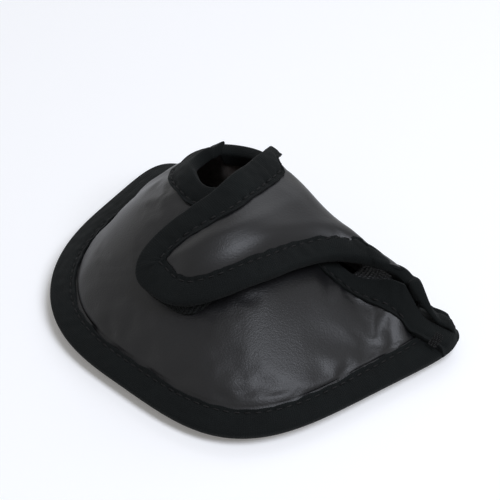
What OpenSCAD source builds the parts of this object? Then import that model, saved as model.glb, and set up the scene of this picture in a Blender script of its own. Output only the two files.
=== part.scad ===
// Mallet putter head cover: a padded pocket with a bound flange, a neck opening at the heel,
// and a padded tongue flap that folds over the mouth and closes with hook-and-loop tape.
// +X is the toe, +Y the putter's face side, Z = 0 is the surface the cover stands on.

/* [Body outline] */
// Half width of the padded body on its toe side
body_toe = 57; // [50:0.5:66]
// Half width of the padded body on its heel side
body_heel = 54.5; // [48:0.5:62]
// Depth of the body behind its widest line
body_rear = 49.25; // [42:0.25:58]
// Depth of the body in front of its widest line
body_face = 31.5; // [27:0.5:36]
// How much wider the body gets towards the face side
taper = 0.14; // [0:0.01:0.2]
// Squareness of the rear heel corner
heel_round = 2.6; // [2.2:0.1:4]
// Squareness of the rear toe corner
toe_round = 4; // [2.6:0.1:5]
// Squareness of the two corners on the face side
face_round = 6; // [4:0.5:8]

/* [Flange] */
// Width of the bound flange
flange_w = 8.5; // [6:0.5:12]
// Width of the bound flange at the heel
heel_flange_w = 11; // [8:0.5:14]
// Height of the seam where the top meets the flange
seam_z = 8.25; // [6.5:0.25:11]
// Height of the flange's outer edge, on its upper face
rim_z = 4.4; // [3.6:0.1:5.5]
// How far the flat of the sole reaches towards the seam, 1 being the seam
flat_share = 0.62; // [0.45:0.01:0.75]

/* [Front panel] */
// Place of the neck opening's middle along X
neck_x = -20; // [-26:0.5:-14]
// Place of the neck opening's middle along Y
neck_y = 23; // [18:0.5:26]
// Rise of the tent above the seam, to its peak over the neck
tent_rise = 38; // [32:0.5:42]
// Fullness of the tent near the seam
tent_puff = 1.2; // [1.05:0.05:1.5]
// Slope exponent of the tent towards the rear and the heel
rear_slope = 1.15; // [1:0.05:1.4]
// Slope exponent of the tent towards the toe
toe_slope = 0.8; // [0.7:0.05:1]
// Radius of the collar at the heel
collar_heel_r = 11; // [9:0.5:13]
// Radius of the collar on the toe side
collar_toe_r = 16; // [13.5:0.5:18]
// How far the slit's edge dips to the rear
slit_dip = 3; // [0:0.5:5]
// Angle at which the slit runs out at the toe corner
slit_end_a = 25; // [22:0.5:28]

/* [Face panel and fold] */
// Distance of the fold from the middle of the neck opening, along Y
fold_y = 36.5; // [35:0.25:38]
// Heel end of the fold line
fold_heel_x = -13; // [-16:0.5:-10]
// Toe end of the fold line
fold_toe_x = 47; // [43:0.5:49]
// Height of the ridge over the head, above the seam
ridge_rise = 22.75; // [20:0.25:26]
// Extra height of the ridge at the neck
neck_rise = 12.5; // [9:0.5:15]
// Outward fullness of the face wall
face_bulge = 2.5; // [1:0.5:4]

/* [Layers] */
// Thickness of the PU leather
skin_t = 0.9; // [0.7:0.1:1.2]
// Thickness of the foam where it is free
foam_t = 3; // [2:0.25:3.5]
// Thickness of the foam where it is pinched at a seam or an edge
pinch_t = 0.6; // [0.4:0.1:0.8]
// Thickness of the lining
lining_t = 0.6; // [0.4:0.1:0.8]
// Width over which the foam swells up from an edge
swell_w = 8; // [5:0.5:10]
// Clearance between layers that lie on each other
ply_gap = 0.1; // [0.08:0.01:0.12]

/* [Tape and thread] */
// Thickness of the binding tape
tape_t = 0.8; // [0.6:0.1:1]
// Width of each leg of the folded binding tape
tape_lap = 8.5; // [6:0.5:9]
// Diameter of the sewing thread
thread_d = 0.5; // [0.4:0.05:0.7]
// Distance of the stitch line from the tape's inner edge
stitch_in = 1.4; // [1:0.1:2]
// Width of the elastic bridge
elastic_w = 10; // [8:0.5:12]
// Thickness of the elastic bridge
elastic_t = 1.2; // [0.8:0.1:1.5]

/* [Flap and closure] */
// Reach of the flap from the fold to its tip
flap_reach = 63; // [56:0.5:66]
// Thickness of the hook tape, and of the loop tape
patch_t = 1.2; // [1:0.1:1.6]
// Gap between the two halves of the closure
closure_gap = 0.3; // [0.3:0.05:0.6]
// Half width of the loop patch
loop_half_w = 14; // [11:0.5:15]
// Half length of the loop patch
loop_half_l = 12; // [9:0.5:13]
// Margin of the hook patch inside the loop patch
hook_margin = 5; // [4:0.5:6]

/* [Hidden] */

leather = [0.09, 0.09, 0.095];
foam_colour = [0.75, 0.74, 0.68];
lining_colour = [0.3, 0.28, 0.26];
tape_colour = [0.05, 0.05, 0.055];
thread_colour = [0.12, 0.12, 0.12];

// The body's widest line, and the shift that centres the flange on X = 0.
mid_y = (body_rear - body_face) / 2;
mid_x = (body_heel + heel_flange_w - body_toe - flange_w) / 2;
neck = [neck_x, neck_y];

// Thickness of all layers where they are pinched.
edge_t = skin_t + pinch_t + lining_t + 2 * ply_gap;
// Foam thickness along the fold, a little under the free thickness.
fold_foam_t = foam_t - 0.8;
fold_t = skin_t + fold_foam_t + lining_t + 2 * ply_gap;
// Upright space between the front panel and the flap's lining, filled by the closure on its slope.
closure_slope = 36;
hook_base = tape_t + 2 * ply_gap;
flap_gap = (2 * patch_t + closure_gap + ply_gap + hook_base) / cos(closure_slope);
// The foam and lining stop this far inside the seam.
seam_in = 2.8;
// Clearances of the face panel's top edge, behind and under the flap's root.
fold_gap = 0.4;
fold_head = 1.2;
// The ridge's height falls away to the seam here, at the toe.
ridge_end_x = body_toe + 1.2;

// ---- small helpers ----
function clamp(t) = min(1, max(0, t));
function smooth(t) = let (c = clamp(t)) c * c * (3 - 2 * c);
function lerp(a, b, t) = a + (b - a) * t;
function unit(v) = v / norm(v);
function plan(p) = [p.x, p.y];
function lift(p, z) = [p.x, p.y, z];
function bezier(a, b, c, t) = lerp(lerp(a, b, t), lerp(b, c, t), t);
// A smooth curve through the points of a list, t from 0 to 1.
function spline(pts, t) =
    let (
        n = len(pts) - 1, s = clamp(t) * n, i = min(n - 1, floor(s)), f = s - i,
        b = pts[i], c = pts[i + 1],
        a = i > 0 ? pts[i - 1] : 2 * b - c, d = i < n - 1 ? pts[i + 2] : 2 * c - b
    )
    0.5 * (
        2 * b + (c - a) * f + (2 * a - 5 * b + 4 * c - d) * f * f + (3 * b - a - 3 * c + d) * f * f * f
    );

// ---- outline rings: a squared oval, tapered, on which an angle picks a point ----
function ring(a, heel, toe, rear, face) =
    let (
        c = cos(a), s = sin(a), w = c > 0 ? toe : heel, d = s > 0 ? face : rear,
        e = s > 0 ? face_round : (c > 0 ? toe_round : heel_round),
        r = pow(pow(abs(c) / w, e) + pow(abs(s) / d, e), -1 / e)
    )
    [mid_x + r * c * (1 + taper * r * s / body_rear), mid_y + r * s];
function seam(a) = ring(a, body_heel, body_toe, body_rear, body_face);
function rim(a) =
    ring(a, body_heel + heel_flange_w, body_toe + flange_w, body_rear + flange_w, body_face + flange_w);
heel_corner_a = 180 - atan2(body_face, body_heel);
toe_corner = seam(slit_end_a);
heel_corner = seam(heel_corner_a);

// ---- flange: w runs from 0 at the seam to 1 at the rim, d is the distance above its upper face ----
function flange_dir(a) = unit(lift(rim(a), rim_z) - lift(seam(a), seam_z));
function flange_up(a) =
    let (d = flange_dir(a), h = unit([d.x, d.y])) [-d.z * h.x, -d.z * h.y, norm([d.x, d.y])];
function flange_len(a) = norm(lift(rim(a), rim_z) - lift(seam(a), seam_z));
function flange(a, w, d) = lift(seam(a), seam_z) + flange_dir(a) * w + flange_up(a) * d;
sandwich_t = 2 * skin_t + ply_gap;

// ---- tent: the height of the front panel's outer face over any point of the plan ----
function gauge(p) =
    let (
        dy = p.y - mid_y, x = (p.x - mid_x) / (1 + taper * dy / body_rear),
        w = x > 0 ? body_toe : body_heel, d = dy > 0 ? body_face : body_rear,
        e = dy > 0 ? face_round : (x > 0 ? toe_round : heel_round)
    )
    pow(abs(x) / w, e) + pow(abs(dy) / d, e);
// Distance from the neck to the seam in a direction, by halving.
function reach(dir, lo = 0, hi = 200, k = 20) =
    k == 0 ? lo
    : let (m = (lo + hi) / 2) gauge(neck + dir * m) > 1 ? reach(dir, lo, m, k - 1) : reach(dir, m, hi, k - 1);
slit_a = atan2(toe_corner.y - neck_y, toe_corner.x - neck_x);
heel_a = atan2(heel_corner.y - neck_y, heel_corner.x - neck_x);
// Past the slit and the heel seam the tent goes on as it is on them.
function tent_a(a) = a > slit_a && a <= 90 ? slit_a : (a > 90 && a < heel_a ? heel_a : a);
function tent(p) =
    let (
        v = p - neck, a = tent_a(atan2(v.y, v.x)), turn = a > 90 ? a - 360 : a,
        rho = min(1, (norm(v) + 0.001) / reach([cos(a), sin(a)])),
        e = lerp(toe_slope, rear_slope, smooth((slit_a - turn) / 70))
    )
    seam_z + tent_rise * pow(1 - pow(rho, e), 1 / tent_puff);
function tent_up(p) =
    let (h = 0.2, q = lerp(p, neck, 0.012), z = tent(q)) unit([
        (z - tent(q + [h, 0])) / h, (z - tent(q + [0, h])) / h, 1
    ]);

// ---- front panel: grid lines run from its free edge (the slit and the collar) to the seam ----
slit_n = 12;
turn_n = 5;
collar_n = 20;
front_n = slit_n + turn_n + collar_n;
turn_from_a = -40;
function collar_r(a) =
    lerp(collar_toe_r, collar_heel_r, smooth((turn_from_a - a) / (turn_from_a - heel_a + 360)));
function collar(a) = neck + collar_r(a) * [cos(a), sin(a)];
slit_in = neck + [collar_toe_r + 13, 1.5];
slit_turn = neck + [collar_toe_r + 4, -0.5];
// The slit starts a little in from the corner, and both panels stop short of it.
slit_start = lerp(toe_corner, slit_in, 0.08);
corner_gap_a = 3.5;
function slit(t) = lerp(slit_start, slit_in, t) - [0, slit_dip * 4 * t * (1 - t)];
// Angles at which the grid lines from the slit's inner end and from the collar's start meet the seam.
slit_seam_a = -34;
turn_seam_a = -62;
function front_edge(k) =
    k <= slit_n ? slit(k / slit_n)
    : k <= slit_n + turn_n ? bezier(slit_in, slit_turn, collar(turn_from_a), (k - slit_n) / turn_n)
    : collar(lerp(turn_from_a, heel_a - 360, (k - slit_n - turn_n) / collar_n));
function front_seam_a(k) =
    k <= slit_n ? lerp(slit_end_a - corner_gap_a, slit_seam_a, pow(k / slit_n, 0.9))
    : k <= slit_n + turn_n ? lerp(slit_seam_a, turn_seam_a, (k - slit_n) / turn_n)
    : lerp(turn_seam_a, heel_corner_a - 360, (k - slit_n - turn_n) / collar_n);
function front_span(k) = norm(seam(front_seam_a(k)) - front_edge(k)) * 1.25;
function front_plan(k, v) = lerp(front_edge(k), seam(front_seam_a(k)), v);
// A point d above the outer face, s along grid line k from the free edge.
function front_at(k, s, d) =
    let (p = front_plan(k, s / front_span(k))) lift(p, tent(p)) + tent_up(p) * d;
// Places along a grid line, as shares of it: close together over the tape and where the foam swells.
function front_rows(k) =
    let (
        span = front_span(k), near = min(1, span / 40),
        edge = [
            for (s = [0, tape_lap / 2, tape_lap, tape_lap + swell_w / 2, tape_lap + swell_w]) s * near / span
        ]
    )
    concat(edge, [for (v = [0.25, 0.5, 0.75, 0.92, 1]) lerp(edge[4], 0.975, v)]);
function front_depth(k, v) =
    let (span = front_span(k), s = span * v, e = min(s - tape_lap, span - s))
    pinch_t + (foam_t - pinch_t) * smooth(e / swell_w) * smooth((front_n - 1 - k) / 3) * smooth(k / 5);
// Foam and lining start clear of the toe corner, where the panel runs to a point.
front_from = 4;
function front_in_rows(k) =
    let (last = 1 - seam_in * 1.3 / front_span(k)) [for (v = front_rows(k)) min(v, last + v / 100)];

// ---- ridge and face panel: s runs from 0 at the toe corner to 1 at the heel corner ----
function ridge_z(x) =
    seam_z + ridge_rise * sqrt(max(0, 1 - pow(clamp(abs(x) / ridge_end_x), 5)))
    + neck_rise * exp(-pow((x - fold_heel_x) / 19.5, 2));
fold_share = 0.6;
neck_share = 0.8;
fold_drop = fold_t + fold_head;
wall_y = fold_y + fold_gap;
neck_end_a = atan2(fold_y - neck_y, fold_heel_x - neck_x);
neck_end_r = norm([fold_heel_x - neck_x, fold_y - neck_y]);
heel_neck = collar(heel_a - 360);
// The wall laps the outside of the front panel's edge along the heel seam.
heel_lap = edge_t + fold_gap;
// Share of the heel seam that the wall's top edge follows.
heel_reach = 0.95;
function under_flap(x) = 1 - smooth((x - fold_toe_x - 1) / 7);
function face_top_toe(t) =
    let (
        end = seam(slit_end_a + corner_gap_a), x = lerp(end.x, fold_heel_x, t),
        y = lerp(wall_y, end.y + 0.5, smooth((x - fold_toe_x) / (end.x - fold_toe_x))),
        swell = 2.5 * smooth((x - fold_toe_x + 14) / 16) * smooth((end.x - x) / 5)
    )
    [x, y + swell, max(seam_z + 3, ridge_z(x) - fold_drop * under_flap(x))];
function face_top_neck(t) =
    let (
        a = lerp(neck_end_a, heel_a, t), r = lerp(neck_end_r, collar_heel_r, t),
        z = lerp(ridge_z(fold_heel_x) - fold_drop, tent(heel_neck), t)
    )
    lift(neck + r * [cos(a), sin(a)] + [0, lerp(fold_gap, heel_lap, t)], z);
function face_top_heel(t) =
    let (p = lerp(heel_neck, heel_corner, t * heel_reach))
    lift(p + [0, heel_lap], max(seam_z + 2.6, tent(p) - 0.3));
function face_top(s) =
    s <= fold_share ? face_top_toe(s / fold_share)
    : s <= neck_share ? face_top_neck((s - fold_share) / (neck_share - fold_share))
    : face_top_heel((s - neck_share) / (1 - neck_share));
function face_seam_a(s) =
    atan2(body_face, lerp(body_face / tan(slit_end_a + corner_gap_a), -body_heel + 2, s));
function face_pt(s, v) =
    let (
        bottom = lift(seam(face_seam_a(s)), seam_z), top = face_top(s),
        full = smooth(s / 0.15) * smooth((1 - s) / 0.15)
    )
    lerp(bottom, top, v) + [0, face_bulge * 4 * v * (1 - v) * full, 0];
function face_up(s, v) =
    let (h = 0.01, s0 = max(0, s - h), s1 = min(1, s + h), v0 = max(0, v - h), v1 = min(1, v + h))
    unit(cross(face_pt(s1, v) - face_pt(s0, v), face_pt(s, v1) - face_pt(s, v0)));
face_n = 30;
face_toe_tape = [0.3, 1, 2, 2.4] / face_n;
face_neck_tape = [18.6, 19, 20, 21, 22, 23, 23.8] / face_n;
face_cols = concat(
    [0], face_toe_tape, [for (k = [3 : 18]) k / face_n], face_neck_tape,
    [for (k = [24 : face_n]) k / face_n]
);
function face_span(s) = norm(face_top(s) - lift(seam(face_seam_a(s)), seam_z));
// A point d above the outer face, s across, e down from the top edge.
function face_at(s, e, d) = let (v = 1 - e / face_span(s)) face_pt(s, v) + face_up(s, v) * d;
face_rows = [0, 0.1, 0.25, 0.42, 0.58, 0.7, 0.85, 1];
face_tape_lap = 0.7 * tape_lap;
function face_depth(s, v) =
    let (span = face_span(s), e = min((1 - v) * span - face_tape_lap - 1.5, v * span - 1))
    pinch_t + (foam_t - pinch_t) * smooth(e / swell_w) * smooth(s / 0.14) * smooth((1 - s) / 0.2);

// ---- flap: its outline from the fold's heel end round the tip to the fold's toe end, in shares of the
// fold's length and of the flap's reach ----
flap_outline = [
    [0.02, 0], [0.05, 0.12], [0.09, 0.3], [0.115, 0.49], [0.075, 0.62], [0.03, 0.73], [0.005, 0.85],
    [0.02, 0.93], [0.075, 0.985], [0.17, 1], [0.3, 0.995],
    [0.425, 0.94], [0.53, 0.81], [0.605, 0.6], [0.64, 0.42], [0.695, 0.25], [0.8, 0.125], [0.98, 0]
];
flap_side_n = 6;
flap_last = len(flap_outline) - 1;
fold_w = fold_toe_x - fold_heel_x;
function flap_plan(q) = [fold_heel_x + q.x * fold_w, fold_y - q.y * flap_reach];
// t runs over the outline's points: the heel side, then the tip, then the toe side.
function flap_edge(t) = flap_plan(spline(flap_outline, t / flap_last));
function flap_uv(u, v) =
    let (
        heel = flap_edge(v * flap_side_n), toe = flap_edge(flap_last - v * flap_side_n),
        tip = flap_edge(lerp(flap_side_n, flap_last - flap_side_n, u)),
        root = lerp(flap_edge(0), flap_edge(flap_last), u),
        corners = (1 - u) * ((1 - v) * flap_edge(0) + v * flap_edge(flap_side_n))
            + u * ((1 - v) * flap_edge(flap_last) + v * flap_edge(flap_last - flap_side_n))
    )
    (1 - u) * heel + u * toe + (1 - v) * root + v * tip - corners;
// Height of the lining's under face: over the front panel, and down to the ridge at the fold.
flap_bend_y = 5;
function flap_under(p) =
    let (
        y = min(p.y, fold_y), t = clamp((y - flap_bend_y) / (fold_y - flap_bend_y)),
        over = tent([p.x, fold_y]) + flap_gap + fold_t - ridge_z(p.x)
    )
    tent([p.x, y]) + flap_gap - over * t * t;
function flap_up(p) =
    let (h = 0.2, q = [p.x, min(p.y, fold_y - h)], z = flap_under(q)) unit([
        (z - flap_under(q + [h, 0])) / h, (z - flap_under(q + [0, h])) / h, 1
    ]);
// The root's end face stays upright, in the plane of the fold.
function flap_lean(p) =
    let (n = flap_up(p), keep = smooth((fold_y - p.y) / 6)) unit([n.x * keep, n.y * keep, n.z]);
function flap_at(p, d) = lift(p, flap_under(p)) + flap_lean(p) * d;
flap_cols = 12;
flap_rows = 16;
// The flap's foam starts this far inside the tape, and swells up over this width.
flap_foam_in = 3;
flap_swell_w = 6;
flap_rim = [for (i = [0 : 60]) flap_edge(flap_last * i / 60)];
function flap_foam(u, v) =
    let (
        p = flap_uv(u, v), e = min([for (q = flap_rim) norm(p - q)]),
        full = lerp(foam_t, fold_foam_t, smooth((0.16 - v) / 0.16))
    )
    lerp(pinch_t, full, smooth((e - tape_lap - flap_foam_in) / flap_swell_w));

// ---- solids made from grids of points ----
// A sheet between two grids of the same size, grid[i][j]. closed joins the last i to the first, and capped
// fills the hole inside the first j of a closed sheet.
module sheet(outer, inner, closed = false, capped = false) {
    n = len(outer);
    m = len(outer[0]);
    far = n * m;
    last = closed ? n - 1 : n - 2;
    function at(i, j) = (i % n) * m + j;
    points = concat([for (line = outer) each line], [for (line = inner) each line]);
    faces = concat(
        [for (i = [0 : last], j = [0 : m - 2]) each [
            [at(i, j), at(i + 1, j), at(i + 1, j + 1)], [at(i, j), at(i + 1, j + 1), at(i, j + 1)],
            [far + at(i, j), far + at(i + 1, j + 1), far + at(i + 1, j)],
            [far + at(i, j), far + at(i, j + 1), far + at(i + 1, j + 1)]
        ]],
        capped ? [[for (i = [0 : last]) at(last - i, 0)], [for (i = [0 : last]) far + at(i, 0)]]
        : [for (i = [0 : last]) each [
            [at(i, 0), far + at(i, 0), far + at(i + 1, 0)], [at(i, 0), far + at(i + 1, 0), at(i + 1, 0)]
        ]],
        [for (i = [0 : last]) each [
            [at(i, m - 1), at(i + 1, m - 1), far + at(i + 1, m - 1)],
            [at(i, m - 1), far + at(i + 1, m - 1), far + at(i, m - 1)]
        ]],
        closed ? [] : [for (j = [0 : m - 2]) each [
            [at(0, j), at(0, j + 1), far + at(0, j + 1)], [at(0, j), far + at(0, j + 1), far + at(0, j)],
            [at(n - 1, j), far + at(n - 1, j), far + at(n - 1, j + 1)],
            [at(n - 1, j), far + at(n - 1, j + 1), at(n - 1, j + 1)]
        ]]
    );
    polyhedron(points = points, faces = faces, convexity = 8);
}

// ---- top: PU skins run on into the flange, foam and lining stop inside the seam ----
skirt_rows = [0, 0.5, 1];
skirt_gap = 0.4;
function skirt(a) = flange_len(a) - tape_nose - skirt_gap;
front_cols = concat([for (k = [0 : front_n - 1]) k], [front_n - 0.4, front_n]);
front_in_cols = concat([for (k = [front_from : front_n - 1]) k], [front_n - 0.4]);
function front_skin(d) = [for (k = front_cols) concat(
    [for (v = front_rows(k)) front_at(k, v * front_span(k), d)],
    [for (w = skirt_rows) flange(front_seam_a(k), w * skirt(front_seam_a(k)), d)]
)];
// A foam or lining sheet: base is the layers above it, and share is how much of the foam it lies under.
function front_layer(base, share) = [for (k = front_in_cols) [for (v = front_in_rows(k))
    front_at(k, v * front_span(k), -base - share * front_depth(k, v))
]];
module front_panel() color(leather) sheet(front_skin(-skin_t), front_skin(0));
module front_padding() color(foam_colour)
    sheet(front_layer(skin_t + ply_gap, 1), front_layer(skin_t + ply_gap, 0));
module front_lining() color(lining_colour)
    sheet(front_layer(skin_t + 2 * ply_gap + lining_t, 1), front_layer(skin_t + 2 * ply_gap, 1));

// ---- face wall ----
face_in_cols = [for (k = [2 : face_n - 2]) k / face_n];
function face_in_rows(s) = let (low = seam_in / face_span(s)) [for (v = face_rows) low + (1 - low) * v];
function face_skin(d) = [for (s = face_cols) concat(
    [for (i = [len(face_rows) - 1 : -1 : 1]) face_pt(s, face_rows[i]) + face_up(s, face_rows[i]) * d],
    [for (w = skirt_rows) flange(face_seam_a(s), w * skirt(face_seam_a(s)), d)]
)];
function face_layer(base, share) = [for (s = face_in_cols) [for (v = face_in_rows(s))
    face_pt(s, v) - face_up(s, v) * (base + share * face_depth(s, v))
]];
module face_panel() color(leather) sheet(face_skin(0), face_skin(-skin_t));
module face_padding() color(foam_colour)
    sheet(face_layer(skin_t + ply_gap, 1), face_layer(skin_t + ply_gap, 0));
module face_lining() color(lining_colour)
    sheet(face_layer(skin_t + 2 * ply_gap + lining_t, 1), face_layer(skin_t + 2 * ply_gap, 1));

// ---- sole: a dish with a flat middle, from the middle out to the seam and into the flange ----
sole_n = 60;
sole_rows = [0.02, 0.35, flat_share, 0.72, 0.82, 0.9, 0.96];
// The flat of the sole is cut true from this much extra depth.
sole_spare = 0.1;
// Exponent of the curl from the flat up to the seam.
sole_curl = 2.2;
function sole_pt(a, v, d) =
    let (
        c = [mid_x, mid_y], low = flange(a, 0, -sandwich_t), p = lerp(c, plan(low), v),
        t = clamp((v - flat_share) / (1 - flat_share)), h = unit(plan(low) - c),
        slope = low.z * sole_curl * pow(t, sole_curl - 1) / norm(plan(low) - c) / (1 - flat_share)
    )
    lift(p, low.z * pow(t, sole_curl)) + unit([-slope * h.x, -slope * h.y, 1]) * d;
sole_cols = [for (k = [0 : sole_n - 1]) 360 * k / sole_n];
function sole_skin(d, cut) = [for (a = sole_cols) concat(
    [for (v = sole_rows) sole_pt(a, v, d) - (v <= flat_share ? [0, 0, cut] : [0, 0, 0])],
    [for (w = skirt_rows) flange(a, w * skirt(a), d - sandwich_t)]
)];
function sole_depth(v) = lerp(foam_t, pinch_t, smooth((v - 0.7) / 0.2));
sole_in_rows = [0.02, 0.35, flat_share, 0.7, 0.78, 0.86, 0.93];
function sole_layer(base, share) = [for (a = sole_cols) [for (v = sole_in_rows)
    sole_pt(a, v, base + share * sole_depth(v))
]];
module sole_panel() color(leather) difference() {
    sheet(sole_skin(skin_t, 0), sole_skin(0, sole_spare), closed = true, capped = true);
    translate([-body_toe * 2, -body_rear * 2, -10]) cube([body_toe * 4, body_rear * 4, 10]);
}
module sole_padding() color(foam_colour)
    sheet(sole_layer(skin_t + ply_gap, 1), sole_layer(skin_t + ply_gap, 0), closed = true, capped = true);
module sole_lining() color(lining_colour)
    sheet(
        sole_layer(skin_t + 2 * ply_gap + lining_t, 1), sole_layer(skin_t + 2 * ply_gap, 1),
        closed = true, capped = true
    );

// ---- folded binding tape: a chain of points round the edge, as [distance in from it, level] ----
// below is the thickness of what the tape folds round, and lap the width of each leg.
function fold_inner(lap, below) = [
    [lap, ply_gap], [lap / 2, ply_gap], [0, ply_gap], [-2 * ply_gap, -below / 2],
    [0, -below - ply_gap], [lap / 2, -below - ply_gap], [lap, -below - ply_gap]
];
function fold_outer(lap, below) = [
    [lap, ply_gap + tape_t], [lap / 2, ply_gap + tape_t], [-0.4 * tape_t, ply_gap + 0.8 * tape_t],
    [-2 * ply_gap - tape_t, -below / 2], [-0.4 * tape_t, -below - ply_gap - 0.8 * tape_t],
    [lap / 2, -below - ply_gap - tape_t], [lap, -below - ply_gap - tape_t]
];
tape_nose = 2 * ply_gap + tape_t;
tape_top = ply_gap + tape_t;
// Extra clearance of the upper leg where the tape runs round a strong curve.
curve_gap = 0.15;
function lift_leg(y) = y > 0 ? y + curve_gap : y;

// Round the flange; the legs stop a little outside the seam.
rim_n = 72;
rim_cols = [for (k = [0 : rim_n - 1]) 360 * k / rim_n];
rim_start = 0.6;
function rim_lap(a) = flange_len(a) - tape_nose - rim_start;
function rim_chain(a, chain) = [for (c = chain) flange(a, flange_len(a) - tape_nose - c.x, c.y)];
module perimeter_binding() color(tape_colour) sheet(
    [for (a = rim_cols) rim_chain(a, fold_outer(rim_lap(a), sandwich_t))],
    [for (a = rim_cols) rim_chain(a, fold_inner(rim_lap(a), sandwich_t))],
    closed = true
);

// Round the front panel's slit and collar.
front_tape_cols = concat([for (k = [0 : front_n - 1]) k], [front_n - 0.4]);
function front_lap(k) = min(tape_lap, front_span(k) - 1.2);
function front_chain(k, chain) = [for (c = chain) let (
        away = unit(front_edge(k) - seam(front_seam_a(k))), out = max(0, -c.x)
    )
    front_at(k, max(0, c.x), c.y) + lift(away, 0) * out
];
module front_edge_binding() color(tape_colour) sheet(
    [for (k = front_tape_cols) front_chain(k, fold_outer(front_lap(k), edge_t))],
    [for (k = front_tape_cols) front_chain(k, fold_inner(front_lap(k), edge_t))]
);

// Over the face wall's free edge: at the neck, and from the flap to the toe corner.
function face_lap(s) = min(face_tape_lap, face_span(s) - 2);
function face_chain(s, chain) = [for (c = chain)
    face_at(s, max(0, c.x), lift_leg(c.y)) + [0, 0, max(0, -c.x)]
];
module face_edge_binding() color(tape_colour) for (cols = [face_toe_tape, face_neck_tape]) sheet(
    [for (s = cols) face_chain(s, fold_inner(face_lap(s), edge_t))],
    [for (s = cols) face_chain(s, fold_outer(face_lap(s), edge_t))]
);

// Flat tape over the joint of front panel and face wall, at the heel.
seam_tape_leg = 4;
seam_tape_cols = [25.9, 26, 27, 28, 28.4] / face_n;
function seam_tape(s, d) =
    let (
        t = (s - neck_share) / (1 - neck_share), p = lerp(heel_neck, heel_corner, t * heel_reach),
        side = unit([heel_corner.y - heel_neck.y, heel_neck.x - heel_corner.x]), q = p - side * seam_tape_leg,
        mid = (p + q) / 2, corner = face_top(s)
    )
    [
        lift(q, tent(q)) + tent_up(q) * d, lift(mid, tent(mid)) + tent_up(mid) * d,
        lift(p, tent(p)) + tent_up(p) * d, corner + [0, 0.7 * d, 0.3 + d], corner + [0, d + 0.1, -0.5],
        face_at(s, seam_tape_leg / 2, d), face_at(s, seam_tape_leg, d)
    ];
module heel_seam_tape() color(tape_colour) sheet(
    [for (s = seam_tape_cols) seam_tape(s, tape_nose)],
    [for (s = seam_tape_cols) seam_tape(s, 2 * ply_gap)]
);

// Elastic bridge across the mouth: sewn under the slit's edge and up the inside of the face wall.
elastic_x = 41;
elastic_under = edge_t + tape_t + 4 * ply_gap;
elastic_behind = edge_t + 3 * ply_gap + elastic_t;
elastic_turn = 5;
function cubic(a, b, c, d, t) = lerp(bezier(a, b, c, t), bezier(b, c, d, t), t);
function elastic_at(x, t, d) =
    let (
        edge = slit((slit_start.x - x) / (slit_start.x - slit_in.x)), q = edge - [0, elastic_turn],
        end = seam(slit_end_a + corner_gap_a), s = fold_share * (end.x - x) / (end.x - fold_heel_x),
        from = lift(q, tent(q)) - tent_up(q) * elastic_under,
        to = face_at(s, 1.5, 0) - face_up(s, 0.9) * elastic_behind,
        out = from + [0, elastic_turn * 1.6, -0.5], up = to - [0, elastic_turn * 0.3, elastic_turn],
        way = cubic(from, out, up, to, t + 0.01) - cubic(from, out, up, to, t - 0.01)
    )
    cubic(from, out, up, to, t) - unit(cross([1, 0, 0], way)) * d;
elastic_cols = [for (i = [0 : 3]) elastic_x + elastic_w * (0.5 - i / 3)];
function elastic_line(x, d) = [for (i = [0 : 8]) elastic_at(x, i / 8, d)];
module elastic_bridge() color(tape_colour) sheet(
    [for (x = elastic_cols) elastic_line(x, 0)], [for (x = elastic_cols) elastic_line(x, elastic_t)]
);

// ---- flap ----
flap_us = [for (i = [0 : flap_cols]) i / flap_cols];
flap_vs = [for (j = [0 : flap_rows]) j / flap_rows];
function flap_sheet(base, share) = [for (u = flap_us) [for (v = flap_vs)
    flap_at(flap_uv(u, v), base + share * flap_foam(u, v))
]];
flap_skin_base = lining_t + 2 * ply_gap;
module flap_lining() color(lining_colour) sheet(flap_sheet(lining_t, 0), flap_sheet(0, 0));
module flap_padding() color(foam_colour)
    sheet(flap_sheet(lining_t + ply_gap, 1), flap_sheet(lining_t + ply_gap, 0));
module flap_panel() color(leather)
    sheet(flap_sheet(flap_skin_base + skin_t, 1), flap_sheet(flap_skin_base, 1));
function flap_in_dir(t) =
    let (
        q = flap_edge(min(flap_last, t + 0.05)) - flap_edge(max(0, t - 0.05)), n = unit([-q.y, q.x]),
        start = smooth(1 - t), end = smooth(t - flap_last + 1)
    )
    unit(n + [3, 0] * start - [3, 0] * end);
function flap_inset(t, s) = let (p = flap_edge(t) + flap_in_dir(t) * s) [p.x, min(p.y, fold_y)];
flap_tape_cols = concat(
    [for (j = [0 : flap_rows - 1]) flap_side_n * j / flap_rows],
    [for (i = [0 : flap_cols - 1]) lerp(flap_side_n, flap_last - flap_side_n, i / flap_cols)],
    [for (j = [flap_rows : -1 : 0]) flap_last - flap_side_n * j / flap_rows]
);
function flap_lap(t) = tape_lap * (0.5 + 0.5 * smooth(t / 1) * smooth((flap_last - t) / 1.5));
function flap_chain(t, chain) = [for (c = chain) flap_at(flap_inset(t, c.x), edge_t + lift_leg(c.y))];
module flap_binding() color(tape_colour) sheet(
    [for (t = flap_tape_cols) flap_chain(t, fold_outer(flap_lap(t), edge_t))],
    [for (t = flap_tape_cols) flap_chain(t, fold_inner(flap_lap(t), edge_t))]
);

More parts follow.
